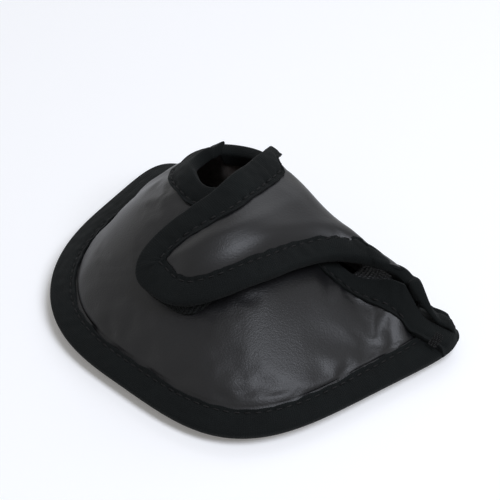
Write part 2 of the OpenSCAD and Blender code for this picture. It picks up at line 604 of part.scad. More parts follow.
// ---- hook-and-loop patches: a squared round outline about the middle of the tip ----
patch_mid = [fold_heel_x + 0.215 * fold_w, fold_y - 0.83 * flap_reach];
patch_n = 32;
patch_rows = [0.05, 0.4, 0.7, 1];
patch_square = 3.4;
function patch_pt(a, v, margin) =
    let (w = loop_half_w - margin, l = loop_half_l - margin)
    patch_mid + v * [cos(a), sin(a)]
        * pow(pow(abs(cos(a)) / w, patch_square) + pow(abs(sin(a)) / l, patch_square), -1 / patch_square);
patch_as = [for (k = [0 : patch_n - 1]) 360 * k / patch_n];
function loop_sheet(d) = [for (a = patch_as) [for (v = patch_rows)
    let (p = patch_pt(a, v, 0)) lift(p, tent(p)) + tent_up(p) * d
]];
function hook_sheet(d) = [for (a = patch_as) [for (v = patch_rows) flap_at(patch_pt(a, v, hook_margin), -d)]];
module loop_patch() color(tape_colour)
    sheet(loop_sheet(ply_gap + patch_t), loop_sheet(ply_gap), closed = true, capped = true);
module hook_patch() color(tape_colour)
    sheet(hook_sheet(hook_base), hook_sheet(hook_base + patch_t), closed = true, capped = true);

// ---- sewing thread: a narrow band along each stitch line, on top of what it holds ----
thread_h = 0.6 * thread_d;
function rim_band(d) = [for (a = rim_cols) [
    for (e = [-0.5, 0.5]) flange(a, rim_start + stitch_in + e * thread_d, tape_top + ply_gap + d)
]];
module perimeter_stitching() color(thread_colour) sheet(rim_band(thread_h), rim_band(0), closed = true);
front_thread_cols = [for (k = front_tape_cols) if (front_span(k) > tape_lap + 2) k];
function front_band(d) = [for (k = front_thread_cols) [
    for (e = [-0.5, 0.5]) front_at(k, front_lap(k) - stitch_in + e * thread_d, tape_top + ply_gap + d)
]];
module front_edge_stitching() color(thread_colour) sheet(front_band(0), front_band(thread_h));
flap_thread_cols = [for (t = flap_tape_cols) if (t > 0.4 && t < flap_last - 1) t];
function flap_band(d) = [for (t = flap_thread_cols) [
    for (e = [-0.5, 0.5]) flap_at(
        flap_inset(t, flap_lap(t) - stitch_in + e * thread_d),
        edge_t + lift_leg(tape_top) + ply_gap + d
    )
]];
module flap_stitching() color(thread_colour) sheet(flap_band(0), flap_band(thread_h));
patch_thread_in = 1.6;
function loop_band(d) = [for (a = patch_as) [for (e = [-0.5, 0.5])
    let (p = patch_pt(a, 1, patch_thread_in + e * thread_d)) lift(p, tent(p)) + tent_up(p) * (tape_top + d)
]];
module loop_patch_stitching() color(thread_colour)
    sheet(
        loop_band(patch_t - tape_t + ply_gap), loop_band(patch_t - tape_t + ply_gap + thread_h / 2),
        closed = true
    );
function hook_band(d) = [for (a = patch_as) [for (e = [-0.5, 0.5])
    flap_at(patch_pt(a, 1, hook_margin - thread_d - 0.1 + e * thread_d), -hook_base - d)
]];
module hook_patch_stitching() color(thread_colour) sheet(hook_band(thread_h), hook_band(0), closed = true);
// Bar of thread that holds the tape's end at the toe corner.
bartack_w = 6;
function bartack(d) = [for (i = [-2 : 2]) [for (e = [0.35, 0.65])
    let (a = slit_end_a + i * bartack_w / 4 * 0.8) flange(a, e * flange_len(a), tape_top + ply_gap + d)
]];
module corner_bartack() color(thread_colour) sheet(bartack(thread_d), bartack(0));

sole_panel();
sole_padding();
sole_lining();
front_panel();
front_padding();
front_lining();
face_panel();
face_padding();
face_lining();
perimeter_binding();
front_edge_binding();
face_edge_binding();
heel_seam_tape();
elastic_bridge();
loop_patch();
loop_patch_stitching();
perimeter_stitching();
front_edge_stitching();
corner_bartack();
flap_panel();
flap_padding();
flap_lining();
flap_binding();
hook_patch();
flap_stitching();
hook_patch_stitching();
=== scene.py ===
"""Head cover for a mallet putter, put together in the order in which it is sewn."""

import math

import bpy
import numpy as np
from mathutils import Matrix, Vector


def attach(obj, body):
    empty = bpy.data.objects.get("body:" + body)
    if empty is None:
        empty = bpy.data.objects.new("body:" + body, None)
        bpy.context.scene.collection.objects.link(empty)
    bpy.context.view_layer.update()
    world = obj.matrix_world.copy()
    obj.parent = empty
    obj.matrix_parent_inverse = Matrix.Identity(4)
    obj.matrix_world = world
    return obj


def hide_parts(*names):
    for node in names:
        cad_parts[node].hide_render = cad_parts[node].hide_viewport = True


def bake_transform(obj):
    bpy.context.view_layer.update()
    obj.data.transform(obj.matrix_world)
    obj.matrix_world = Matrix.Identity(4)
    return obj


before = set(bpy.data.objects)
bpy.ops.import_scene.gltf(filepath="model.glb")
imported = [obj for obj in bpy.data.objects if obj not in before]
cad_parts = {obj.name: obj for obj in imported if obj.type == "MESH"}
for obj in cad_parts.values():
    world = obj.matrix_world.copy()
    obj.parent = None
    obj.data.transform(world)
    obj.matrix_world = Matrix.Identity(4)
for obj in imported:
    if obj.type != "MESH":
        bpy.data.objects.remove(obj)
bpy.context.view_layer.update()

# ---- Sole ----------------------------------------------------------------------------------
# The bottom of the pocket is one dished panel of black PU leather, cut to the outline of the
# whole cover. Its flat middle stands on the table and its border rises to the flange.

# Outline of the padded body and of the flange round it, in mm, from the widest line.
BODY = {"heel": 54.5, "toe": 57.0, "rear": 49.25, "face": 31.5}
RIM = {"heel": 65.5, "toe": 65.5, "rear": 57.75, "face": 40.0}
CORNER = {"heel": 2.6, "toe": 4.0, "face": 6.0}
TAPER = 0.14
MIDDLE = np.array([0.0, 8.875])
SEAM_Z, RIM_Z = 8.25, 4.4
SKIN_T, PINCH_T, LINING_T, PLY_GAP = 0.9, 0.6, 0.6, 0.1
FOAM_T = 3.0
SANDWICH_T = 2 * SKIN_T + PLY_GAP
EDGE_T = SKIN_T + PINCH_T + LINING_T + 2 * PLY_GAP


def mix(a, b, t):
    return a + (b - a) * t


def ease(t):
    t = np.clip(t, 0, 1)
    return t * t * (3 - 2 * t)


def unit(v):
    return v / np.maximum(np.linalg.norm(v, axis=-1, keepdims=True), 1e-9)


def lift(p, z):
    """A point of the plan raised to height z."""
    return np.concatenate([p, np.broadcast_to(z, p.shape[:-1])[..., None]], -1)


def oval(a, size):
    """Squared, tapered oval; a is the angle in degrees from the toe."""
    c, s = np.cos(np.radians(a)), np.sin(np.radians(a))
    w = np.where(c > 0, size["toe"], size["heel"])
    d = np.where(s > 0, size["face"], size["rear"])
    e = np.where(s > 0, CORNER["face"], np.where(c > 0, CORNER["toe"], CORNER["heel"]))
    r = ((np.abs(c) / w) ** e + (np.abs(s) / d) ** e) ** (-1 / e)
    return np.stack(
        [MIDDLE[0] + r * c * (1 + TAPER * r * s / BODY["rear"]), MIDDLE[1] + r * s], -1
    )


def flange_way(a):
    return unit(lift(oval(a, RIM), RIM_Z) - lift(oval(a, BODY), SEAM_Z))


def flange_length(a):
    return np.linalg.norm(lift(oval(a, RIM), RIM_Z) - lift(oval(a, BODY), SEAM_Z), axis=-1)


def flange(a, out, up):
    """A point on the flange: out from the seam, and up from its upper face."""
    way = flange_way(a)
    flat = unit(way[..., :2])
    normal = np.concatenate(
        [-way[..., 2:] * flat, np.linalg.norm(way[..., :2], axis=-1)[..., None]], -1
    )
    start = lift(oval(a, BODY), SEAM_Z)
    return start + way * np.asarray(out)[..., None] + normal * np.asarray(up)[..., None]


def grid_faces(n, m, loop=False):
    """Quads of an n by m grid of points; loop joins the last line to the first."""
    i = np.arange(n if loop else n - 1)[:, None]
    j = np.arange(m - 1)[None, :]
    near, far = i * m, ((i + 1) % n) * m
    return np.stack([near + j, far + j, far + j + 1, near + j + 1], -1).reshape(-1, 4)


def running(points):
    """How far each point of a line lies along it."""
    return np.concatenate([[0], np.cumsum(np.linalg.norm(np.diff(points, axis=0), axis=1))])


def grid_lengths(p):
    """How far each point of a grid lies along and across it, in mm, for woven patterns."""
    along = np.zeros(p.shape[:2])
    across = np.zeros(p.shape[:2])
    along[1:] = np.cumsum(np.linalg.norm(np.diff(p, axis=0), axis=-1).mean(1))[:, None]
    across[:, 1:] = np.cumsum(np.linalg.norm(np.diff(p, axis=1), axis=-1), 1)
    return np.stack([along, across], -1).reshape(-1, 2)


def point_normals(points, faces):
    normal = np.zeros_like(points)
    a, b, c, d = (points[faces[:, k]] for k in range(4))
    side = np.cross(c - a, d - b)
    for k in range(4):
        np.add.at(normal, faces[:, k], side)
    return unit(normal)


def slab(name, points, faces, over, under, material, lengths=None):
    """A closed sheet of some thickness: over and under are measured from the points."""
    points = points.reshape(-1, 3)
    n = len(points)
    normal = point_normals(points, faces)
    over = np.broadcast_to(over, n)[:, None]
    under = np.broadcast_to(under, n)[:, None]
    edges = {}
    for face in faces.tolist():
        for p, q in zip(face, face[1:] + face[:1]):
            edges[(p, q)] = True
    rim = [(p, q) for p, q in edges if (q, p) not in edges]
    sides = [(q, p, p + n, q + n) for p, q in rim]
    every = faces.tolist() + (faces[:, ::-1] + n).tolist() + sides
    both = np.concatenate([points + normal * over, points - normal * under]) / 1000
    mesh = bpy.data.meshes.new(name)
    mesh.from_pydata(both.tolist(), [], [tuple(f) for f in every])
    if lengths is not None:
        layer = mesh.uv_layers.new(name="lengths")
        corner = np.zeros(len(mesh.loops), int)
        mesh.loops.foreach_get("vertex_index", corner)
        layer.data.foreach_set("uv", np.tile(lengths, (2, 1))[corner].ravel())
    return finished(name, mesh, material)


SHARP_FOLD = math.radians(50)


def placed(name, data):
    """An object in the scene, made from its mesh, lamp or camera data."""
    made = bpy.data.objects.new(name, data)
    bpy.context.scene.collection.objects.link(made)
    return made


def finished(name, mesh, material):
    """Smooth shading, faces turned outwards, and an object in the scene."""
    mesh.update()
    co = np.zeros(len(mesh.vertices) * 3)
    mesh.vertices.foreach_get("co", co)
    co = co.reshape(-1, 3)
    mesh.calc_loop_triangles()
    tri = np.zeros(len(mesh.loop_triangles) * 3, int)
    mesh.loop_triangles.foreach_get("vertices", tri)
    a, b, c = (co[tri.reshape(-1, 3)[:, k]] for k in range(3))
    if np.einsum("ij,ij->", a, np.cross(b, c)) < 0:
        mesh.flip_normals()
    mesh.shade_smooth()
    mesh.set_sharp_from_angle(angle=SHARP_FOLD)
    mesh.materials.append(material)
    return placed(name, mesh)


def colour(code):
    """Linear RGBA of an sRGB hex colour."""
    parts = [int(code[i : i + 2], 16) / 255 for i in (1, 3, 5)]
    return [p / 12.92 if p < 0.04045 else ((p + 0.055) / 1.055) ** 2.4 for p in parts] + [1]


def add(tree, kind, inputs=None, **settings):
    """Adds a node; an input is given as a value or as the output that feeds it."""
    made = tree.nodes.new(kind)
    for name, value in settings.items():
        setattr(made, name, value)
    for name, value in (inputs or {}).items():
        if isinstance(value, bpy.types.NodeSocket):
            tree.links.new(value, made.inputs[name])
        else:
            made.inputs[name].default_value = value
    return made


def new_material(name):
    material = bpy.data.materials.new(name)
    material.use_nodes = True
    material.node_tree.nodes.clear()
    return material, material.node_tree


def close_material(tree, inputs, height=None, depth_mm=0.1, strength=1.0):
    """The surface shader and its bump; depth_mm is the real depth of the relief."""
    if height is not None:
        relief = {"Height": height, "Strength": strength, "Distance": depth_mm / 1000}
        inputs = {**inputs, "Normal": add(tree, "ShaderNodeBump", relief).outputs["Normal"]}
    shader = add(tree, "ShaderNodeBsdfPrincipled", inputs)
    add(tree, "ShaderNodeOutputMaterial", {"Surface": shader.outputs["BSDF"]})


# Black PU leather: a polyurethane film embossed with a fine pebble grain on a knit backing.
# The film is near black; its grey tone and soft broad highlights are the gloss of the film.
# The real grain is about 0.4 mm across; it is drawn at 0.6 mm so that it shows.
GRAIN_MM, PORE_MM, BEND_MM, HAIR_MM, PATCH_MM = 0.6, 0.35, 3, 5.0, 22.0
pu_leather, tree = new_material("pu_leather")
place = add(tree, "ShaderNodeTexCoord").outputs["Object"]
bend = add(tree, "ShaderNodeTexNoise", {"Vector": place, "Scale": 1000 / BEND_MM, "Detail": 2})
bent = add(
    tree,
    "ShaderNodeMixRGB",
    {"Fac": 0.0009, "Color1": place, "Color2": bend.outputs["Color"]},
    blend_type="ADD",
).outputs["Color"]
pebble = add(
    tree,
    "ShaderNodeTexVoronoi",
    {"Vector": bent, "Scale": 1000 / GRAIN_MM, "Smoothness": 0.4},
    feature="SMOOTH_F1",
)
hair = add(
    tree,
    "ShaderNodeTexVoronoi",
    {"Vector": bent, "Scale": 1000 / HAIR_MM},
    feature="DISTANCE_TO_EDGE",
)
hair_line = add(
    tree,
    "ShaderNodeMapRange",
    {"Value": hair.outputs["Distance"], "From Max": 0.06, "To Min": -0.12, "To Max": 0},
)
pores = add(tree, "ShaderNodeTexNoise", {"Vector": place, "Scale": 1000 / PORE_MM, "Detail": 3})
grain = add(
    tree,
    "ShaderNodeMath",
    {0: pebble.outputs["Distance"], 1: -0.8, 2: hair_line.outputs["Result"]},
    operation="MULTIPLY_ADD",
)
grain = add(
    tree,
    "ShaderNodeMath",
    {0: pores.outputs["Fac"], 1: 0.5, 2: grain.outputs["Value"]},
    operation="MULTIPLY_ADD",
)
worn = add(tree, "ShaderNodeTexNoise", {"Vector": place, "Scale": 1000 / PATCH_MM, "Detail": 4})
gloss = add(
    tree,
    "ShaderNodeMapRange",
    {
        "Value": worn.outputs["Fac"],
        "From Min": 0.3,
        "From Max": 0.7,
        "To Min": 0.35,
        "To Max": 0.44,
    },
)
tone = add(
    tree,
    "ShaderNodeMixRGB",
    {"Fac": worn.outputs["Fac"], "Color1": colour("#0a0a0b"), "Color2": colour("#111113")},
)
close_material(
    tree,
    {
        "Base Color": tone.outputs["Color"],
        "Roughness": gloss.outputs["Result"],
        "IOR": 1.34,
    },
    grain.outputs["Value"],
    depth_mm=0.09,
    strength=0.5,
)

FLAT_SHARE, SOLE_CURL = 0.62, 2.2
SKIRT_SHARES = np.array([0.3, 0.65, 1.0])
TAPE_T, TAPE_LAP = 0.8, 8.5
TAPE_NOSE = 2 * PLY_GAP + TAPE_T


def even_angles(count, size=BODY):
    """Angles that divide an oval into steps of equal length."""
    a = np.linspace(0, 360, 3601)
    run = running(oval(a, size))
    return np.interp(np.linspace(0, run[-1], count + 1)[:-1], run, a)


def skirt(a):
    """Width of leather that runs on into the flange, under the tape."""
    return flange_length(a) - TAPE_NOSE - 0.4


def sole_at(a, v, up):
    """A point of the sole: v runs from the middle to the seam."""
    low = flange(a, 0.0 * a, 0.0 * a - SANDWICH_T)
    arm = low[..., :2] - MIDDLE
    t = np.clip((v - FLAT_SHARE) / (1 - FLAT_SHARE), 0, 1)
    slope = low[..., 2] * SOLE_CURL * t ** (SOLE_CURL - 1)
    slope = slope / np.linalg.norm(arm, axis=-1) / (1 - FLAT_SHARE)
    normal = unit(lift(-slope[..., None] * unit(arm), np.ones_like(slope)))
    return (
        lift(MIDDLE + arm * v[..., None], low[..., 2] * t**SOLE_CURL)
        + normal * np.asarray(up)[..., None]
    )


def sole_surface(a, rows, up, run_on=True):
    aa, vv = np.meshgrid(a, rows, indexing="ij")
    dish = sole_at(aa, vv, up(vv))
    if not run_on:
        return dish
    aa, ww = np.meshgrid(a, SKIRT_SHARES, indexing="ij")
    return np.concatenate([dish, flange(aa, ww * skirt(aa), up(1.0 + 0 * ww) - SANDWICH_T)], 1)


sole_angles = even_angles(240)
sole_rows = np.concatenate([np.linspace(0.0005, FLAT_SHARE, 12), np.linspace(0.65, 1, 14)])
dish = sole_surface(sole_angles, sole_rows, lambda v: SKIN_T / 2 + 0 * v)
sole_leather = slab(
    "sole_leather",
    dish,
    grid_faces(*dish.shape[:2], loop=True),
    SKIN_T / 2,
    SKIN_T / 2,
    pu_leather,
)
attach(sole_leather, "cover")
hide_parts("sole_panel", "sole_padding")

# Lining: a thin brushed knit, taupe grey, glued to the foam. It drinks the light, and a short
# nap gives it a faint pale edge. The knit's 0.4 mm loops are drawn at 0.8 mm so that they show.
KNIT_MM, NAP_MM = 0.8, 6
knit_lining, tree = new_material("knit_lining")
place = add(tree, "ShaderNodeTexCoord").outputs["Object"]
loops = add(
    tree,
    "ShaderNodeTexVoronoi",
    {"Vector": place, "Scale": 1000 / KNIT_MM, "Randomness": 0.5},
)
nap = add(tree, "ShaderNodeTexNoise", {"Vector": place, "Scale": 1000 / NAP_MM, "Detail": 5})
rise = add(
    tree,
    "ShaderNodeMath",
    {0: loops.outputs["Distance"], 1: -1.0, 2: nap.outputs["Fac"]},
    operation="MULTIPLY_ADD",
)
tone = add(
    tree,
    "ShaderNodeMixRGB",
    {"Fac": nap.outputs["Fac"], "Color1": colour("#463f3b"), "Color2": colour("#5c534e")},
)
close_material(
    tree,
    {"Base Color": tone.outputs["Color"], "Roughness": 0.95, "Sheen Weight": 0.15},
    rise.outputs["Value"],
    depth_mm=0.2,
    strength=0.6,
)

inside = sole_surface(
    sole_angles,
    np.concatenate([np.linspace(0.0005, FLAT_SHARE, 10), np.linspace(0.65, 0.93, 10)]),
    lambda v: SKIN_T + 2 * PLY_GAP + LINING_T / 2 + mix(FOAM_T, PINCH_T, ease((v - 0.7) / 0.2)),
    run_on=False,
)
sole_lining = slab(
    "sole_lining_cloth",
    inside,
    grid_faces(*inside.shape[:2], loop=True),
    LINING_T / 2,
    LINING_T / 2,
    knit_lining,
)
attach(sole_lining, "cover")
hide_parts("sole_lining")

# ---- Front panel ---------------------------------------------------------------------------
# The top of the cover, from the slit and the collar round the neck down to the flange: PU
# leather on foam, sewn in all round, so that it stands up as a padded tent with rounded sides.

NECK = np.array([-20.0, 23.0])
TENT_RISE, TENT_PUFF, REAR_SLOPE, TOE_SLOPE = 38.0, 1.2, 1.15, 0.8
COLLAR_HEEL_R, COLLAR_TOE_R, SLIT_DIP = 11.0, 16.0, 3.0
SLIT_END, CORNER_GAP, TURN_FROM = 25.0, 3.5, -40.0
SLIT_N, TURN_N, COLLAR_N = 12, 5, 20
FRONT_N = SLIT_N + TURN_N + COLLAR_N
HEEL_CORNER = 180 - math.degrees(math.atan2(BODY["face"], BODY["heel"]))
toe_corner, heel_corner = oval(np.array(SLIT_END), BODY), oval(np.array(HEEL_CORNER), BODY)
SLIT_WAY = math.degrees(math.atan2(toe_corner[1] - NECK[1], toe_corner[0] - NECK[0]))
HEEL_WAY = math.degrees(math.atan2(heel_corner[1] - NECK[1], heel_corner[0] - NECK[0]))


def round_at(a):
    """Unit vector of the plan at an angle in degrees."""
    return np.stack([np.cos(np.radians(a)), np.sin(np.radians(a))], -1)


def to_seam(way):
    """Distance from the neck to the seam, by halving."""
    low, high = np.zeros(way.shape[:-1]), np.full(way.shape[:-1], 200.0)
    for _ in range(22):
        mid = (low + high) / 2
        p = NECK + way * mid[..., None] - MIDDLE
        x = p[..., 0] / (1 + TAPER * p[..., 1] / BODY["rear"])
        w = np.where(x > 0, BODY["toe"], BODY["heel"])
        d = np.where(p[..., 1] > 0, BODY["face"], BODY["rear"])
        e = np.where(p[..., 1] > 0, CORNER["face"], np.where(x > 0, CORNER["toe"], CORNER["heel"]))
        out = (np.abs(x) / w) ** e + (np.abs(p[..., 1]) / d) ** e > 1
        low, high = np.where(out, low, mid), np.where(out, mid, high)
    return low


def tent(p):
    """Height of the front panel's outer face over a point of the plan."""
    v = p - NECK
    a = np.degrees(np.arctan2(v[..., 1], v[..., 0]))
    a = np.where((a > SLIT_WAY) & (a <= 90), SLIT_WAY, a)
    a = np.where((a > 90) & (a < HEEL_WAY), HEEL_WAY, a)
    turn = np.where(a > 90, a - 360, a)
    share = np.minimum(1, (np.linalg.norm(v, axis=-1) + 0.001) / to_seam(round_at(a)))
    e = mix(TOE_SLOPE, REAR_SLOPE, ease((SLIT_WAY - turn) / 70))
    return SEAM_Z + TENT_RISE * (1 - share**e) ** (1 / TENT_PUFF)


def tent_normal(p):
    q, h = mix(p, NECK, 0.012), 0.2
    z = tent(q)
    return unit(
        np.stack(
            [(z - tent(q + [h, 0])) / h, (z - tent(q + [0, h])) / h, np.ones_like(z)], -1
        )
    )


def bezier(a, b, c, t):
    t = np.asarray(t)[..., None]
    return mix(mix(a, b, t), mix(b, c, t), t)


def collar(a):
    r = mix(COLLAR_TOE_R, COLLAR_HEEL_R, ease((TURN_FROM - a) / (TURN_FROM - HEEL_WAY + 360)))
    return NECK + r[..., None] * round_at(a)


heel_neck = collar(np.array(HEEL_WAY - 360))
slit_in, slit_turn = NECK + [COLLAR_TOE_R + 13, 1.5], NECK + [COLLAR_TOE_R + 4, -0.5]
slit_start = mix(toe_corner, slit_in, 0.08)


def slit(t):
    t = np.asarray(t, float)
    dip = np.stack([0 * t, SLIT_DIP * 4 * t * (1 - t)], -1)
    return mix(slit_start, slit_in, t[..., None]) - dip


def front_edge(k):
    """The panel's free edge: the slit, the turn, then the collar."""
    k = np.asarray(k, float)
    turn = (k - SLIT_N) / TURN_N
    past = (k - SLIT_N - TURN_N) / COLLAR_N
    return np.where(
        (k <= SLIT_N)[..., None],
        slit(k / SLIT_N),
        np.where(
            (turn <= 1)[..., None],
            bezier(slit_in, slit_turn, collar(np.array(TURN_FROM)), turn),
            collar(mix(TURN_FROM, HEEL_WAY - 360, past)),
        ),
    )


SLIT_FOOT, TURN_FOOT = -34, -62


def front_seam(k):
    """Angle at which a grid line of the panel meets the seam."""
    k = np.asarray(k, float)
    return np.where(
        k <= SLIT_N,
        mix(SLIT_END - CORNER_GAP, SLIT_FOOT, np.clip(k / SLIT_N, 0, 1) ** 0.9),
        np.where(
            k <= SLIT_N + TURN_N,
            mix(SLIT_FOOT, TURN_FOOT, (k - SLIT_N) / TURN_N),
            mix(TURN_FOOT, HEEL_CORNER - 360, (k - SLIT_N - TURN_N) / COLLAR_N),
        ),
    )


def front_span(k):
    return np.linalg.norm(oval(front_seam(k), BODY) - front_edge(k), axis=-1) * 1.25


FULL_TURN = 6.283


def waves(p, length, seed, count=7):
    """Soft, seeded undulation of about one wave per length of plan."""
    rng = np.random.default_rng(seed)
    total = 0
    for way, start, size in zip(
        rng.uniform(0, 360, count), rng.uniform(0, 6.28, count), rng.uniform(0.7, 1.5, count)
    ):
        total = total + np.sin(FULL_TURN * (p[..., :2] @ round_at(way)) / (length * size) + start)
    return total / count**0.5


def crease(p, start, end, width, height):
    """A pinched fold along a line of the plan, fading at both ends."""
    start, end = np.array(start), np.array(end)
    run = end - start
    t = ((p[..., :2] - start) @ run) / (run @ run)
    off = (p[..., :2] - start) @ np.array([-run[1], run[0]]) / np.linalg.norm(run)
    fade = np.sin(np.pi * np.clip(t, 0, 1)) ** 0.8
    x = off / (width * (0.6 + 0.6 * np.clip(t, 0, 1)))
    return height * fade * (np.exp(-x * x) - 0.55 * np.exp(-((x - 1.5) ** 2)))


def front_relief(p, e):
    """Fullness and folds of the stuffed panel; e is the distance from its sewn edges."""
    inner = ease(e / 14)
    puckers = 0.14 * waves(p, 9, 4) * ease(e / 2) * (1 - ease((e - 3) / 12))
    soft = 0.35 * waves(p, 34, 11) * inner
    folds = (
        crease(p, (58, 22), (33, 8), 6.0, 0.4)
        + crease(p, (58, 16), (40, -3), 5.0, -0.3)
        + crease(p, (-50, 12), (-34, 20), 3.5, 0.7)
    ) * ease(e / 7)
    return puckers + soft + folds


SLIT_BACK, SLIT_RAISED, COLLAR_IN, COLLAR_UP = 2.9, 7.6, 2.4, 1.6


def settled(k, v):
    """How far the made-up cover has moved from its pattern, in mm.

    The slit's toe end is drawn up towards the wall, and the collar is drawn in by its tape."""
    k, v = np.broadcast_arrays(np.asarray(k, float), v)
    draw = ease(k / 1.2) * ease((5.6 - k) / 3.6)
    up = np.stack([0 * k, SLIT_BACK + 0.6 * (k - 1), SLIT_RAISED - 1.9 * (k - 1)], -1)
    up = up * draw[..., None]
    tight = ease((k - SLIT_N - TURN_N - 2) / 6)[..., None]
    inward = unit(NECK - front_edge(k)) * COLLAR_IN * tight
    round_neck = np.concatenate([inward, COLLAR_UP * tight], -1)
    free = np.clip(1 - v, 0, 1)[..., None]
    return up * free**2 + round_neck * free**3


def front_grid(k, share, up):
    kk, vv = np.meshgrid(k, share, indexing="ij")
    p = mix(front_edge(kk), oval(front_seam(kk), BODY), vv[..., None])
    span = front_span(kk)
    away = np.minimum(span * (1 - vv), np.maximum(0, span * vv - TAPE_LAP + 2))
    relief = front_relief(p, away)
    out = np.asarray(up)[..., None] + relief[..., None]
    return lift(p, tent(p)) + tent_normal(p) * out + settled(kk, vv)


front_columns = np.linspace(0, FRONT_N, FRONT_N * 4 + 1)
front_rows = np.concatenate([np.linspace(0, 0.9, 44), 0.9 + 0.1 * np.linspace(0.1, 1, 10) ** 0.7])

PILLOW_T, CLOTH_FRAMES = 4, 20


def stuffed(points, held, growth, pressure, cap):
    """How a stuffed panel settles: its coarse grid as cloth, sewn down where held.

    The cloth is cut a little fuller than its place, and the stuffing presses from within, so
    that it buckles near its seams. Returns the movement of each point in mm, up to the cap."""
    n, m = points.shape[:2]
    faces = grid_faces(n, m)
    flat = points.reshape(-1, 3)
    normal = point_normals(flat, faces)
    normal = normal * np.sign(normal[:, 2].sum())
    layer = np.arange(n * m).reshape(n, m)
    rim = np.concatenate([layer[:-1, 0], layer[-1, :-1], layer[:0:-1, -1], layer[0, :0:-1]])
    sides = [(a, b, b + n * m, a + n * m) for a, b in zip(rim, np.roll(rim, -1))]
    every = faces.tolist() + (faces[:, ::-1] + n * m).tolist() + np.array(sides).tolist()
    mesh = bpy.data.meshes.new("stuffing")
    mesh.from_pydata((np.concatenate([flat, flat - PILLOW_T * normal]) / 1000).tolist(), [], every)
    mesh.update()
    pillow = placed("stuffing", mesh)
    group = pillow.vertex_groups.new(name="sewn")
    fixed = np.concatenate([held.ravel(), np.ones(n * m)])
    for i, weight in enumerate(fixed.tolist()):
        group.add([i], weight, "REPLACE")
    cloth = pillow.modifiers.new("cloth", "CLOTH")
    cloth.settings.quality = 6
    cloth.settings.mass = 0.3
    cloth.settings.tension_stiffness = cloth.settings.compression_stiffness = 15
    cloth.settings.bending_stiffness = 0.3
    cloth.settings.use_pressure = True
    cloth.settings.uniform_pressure_force = pressure
    cloth.settings.shrink_min = cloth.settings.shrink_max = -growth
    cloth.settings.vertex_group_mass = "sewn"
    cloth.settings.effector_weights.gravity = 0
    scene = bpy.context.scene
    for frame_number in range(1, CLOTH_FRAMES + 1):
        scene.frame_set(frame_number)
    solved = pillow.evaluated_get(bpy.context.evaluated_depsgraph_get()).data
    co = np.zeros(len(solved.vertices) * 3)
    solved.vertices.foreach_get("co", co)
    bpy.data.objects.remove(pillow)
    bpy.data.meshes.remove(mesh)
    scene.frame_set(1)
    move = co.reshape(-1, 3)[: n * m] * 1000 - flat
    size = np.linalg.norm(move, axis=1, keepdims=True)
    return (move * np.minimum(1, cap / np.maximum(size, 1e-6))).reshape(points.shape)


def spread(move, k, v, k_fine, v_fine):
    """Values of a coarse grid at the lines of a fine one."""
    rows = np.stack(
        [[np.interp(k_fine, k, move[:, j, c]) for j in range(len(v))] for c in range(3)], -1
    )
    return np.stack(
        [[np.interp(v_fine, v, rows[:, i, c]) for i in range(len(k_fine))] for c in range(3)], -1
    )


coarse_k, coarse_v = np.linspace(0, FRONT_N, 75), np.linspace(0, 1, 34)
coarse = front_grid(coarse_k, coarse_v, -SKIN_T / 2)
lap_share = np.minimum(0.9, (TAPE_LAP - 1) / front_span(coarse_k))[:, None]
sewn = (coarse_v[None, :] <= lap_share) | (coarse_v[None, :] >= 0.985)
sewn = sewn | (coarse_k < 0.4)[:, None] | (coarse_k > FRONT_N - 0.6)[:, None]
# Sewing on the loop patch also holds the leather down, round the place drawn for the patch.
PATCH_PLACE, PATCH_ROOM = np.array([-0.1, -15.8]), np.array([15, 13])
way = front_grid(coarse_k, coarse_v, 0 * coarse_v)[..., :2] - PATCH_PLACE
sewn = sewn | (np.abs(way) < PATCH_ROOM).all(-1)
settle = stuffed(coarse, sewn * 1.0, growth=0.006, pressure=4.0, cap=0.8)
top = front_grid(front_columns, front_rows, -SKIN_T / 2)
top = top + spread(settle, coarse_k, coarse_v, front_columns, front_rows)
turned, out = np.meshgrid(front_seam(front_columns), SKIRT_SHARES, indexing="ij")
top = np.concatenate([top, flange(turned, out * skirt(turned), 0 * out - SKIN_T / 2)], 1)
front_leather = slab(
    "front_leather", top, grid_faces(*top.shape[:2]), SKIN_T / 2, SKIN_T / 2, pu_leather
)
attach(front_leather, "cover")
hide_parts("front_panel", "front_padding")

# The lining follows the foam: close to the leather where both are pinched, and away from it
# in the middle of the panel.
lining_columns = np.linspace(4, FRONT_N - 0.4, 110)
lining_rows = np.concatenate([np.linspace(0, 0.25, 14), np.linspace(0.27, 0.94, 26)])
kk, vv = np.meshgrid(lining_columns, lining_rows, indexing="ij")
span = front_span(kk)
swell = ease(np.minimum(span * vv - TAPE_LAP, span * (1 - vv)) / 8)
swell = swell * ease((FRONT_N - 1 - kk) / 3) * ease(kk / 5)
depth = SKIN_T + 2 * PLY_GAP + LINING_T / 2 + mix(PINCH_T, FOAM_T, swell)
front_lining = slab(
    "front_lining_cloth",
    front_grid(lining_columns, lining_rows, -depth),
    grid_faces(*kk.shape),
    LINING_T / 2,
    LINING_T / 2,
    knit_lining,
)
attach(front_lining, "cover")
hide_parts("front_lining")

# ---- Face wall and flap --------------------------------------------------------------------
# One piece of PU leather on foam: the wall stands behind the putter's face, and its tongue
# folds over the mouth and down onto the front panel. The wall is sewn into the flange.

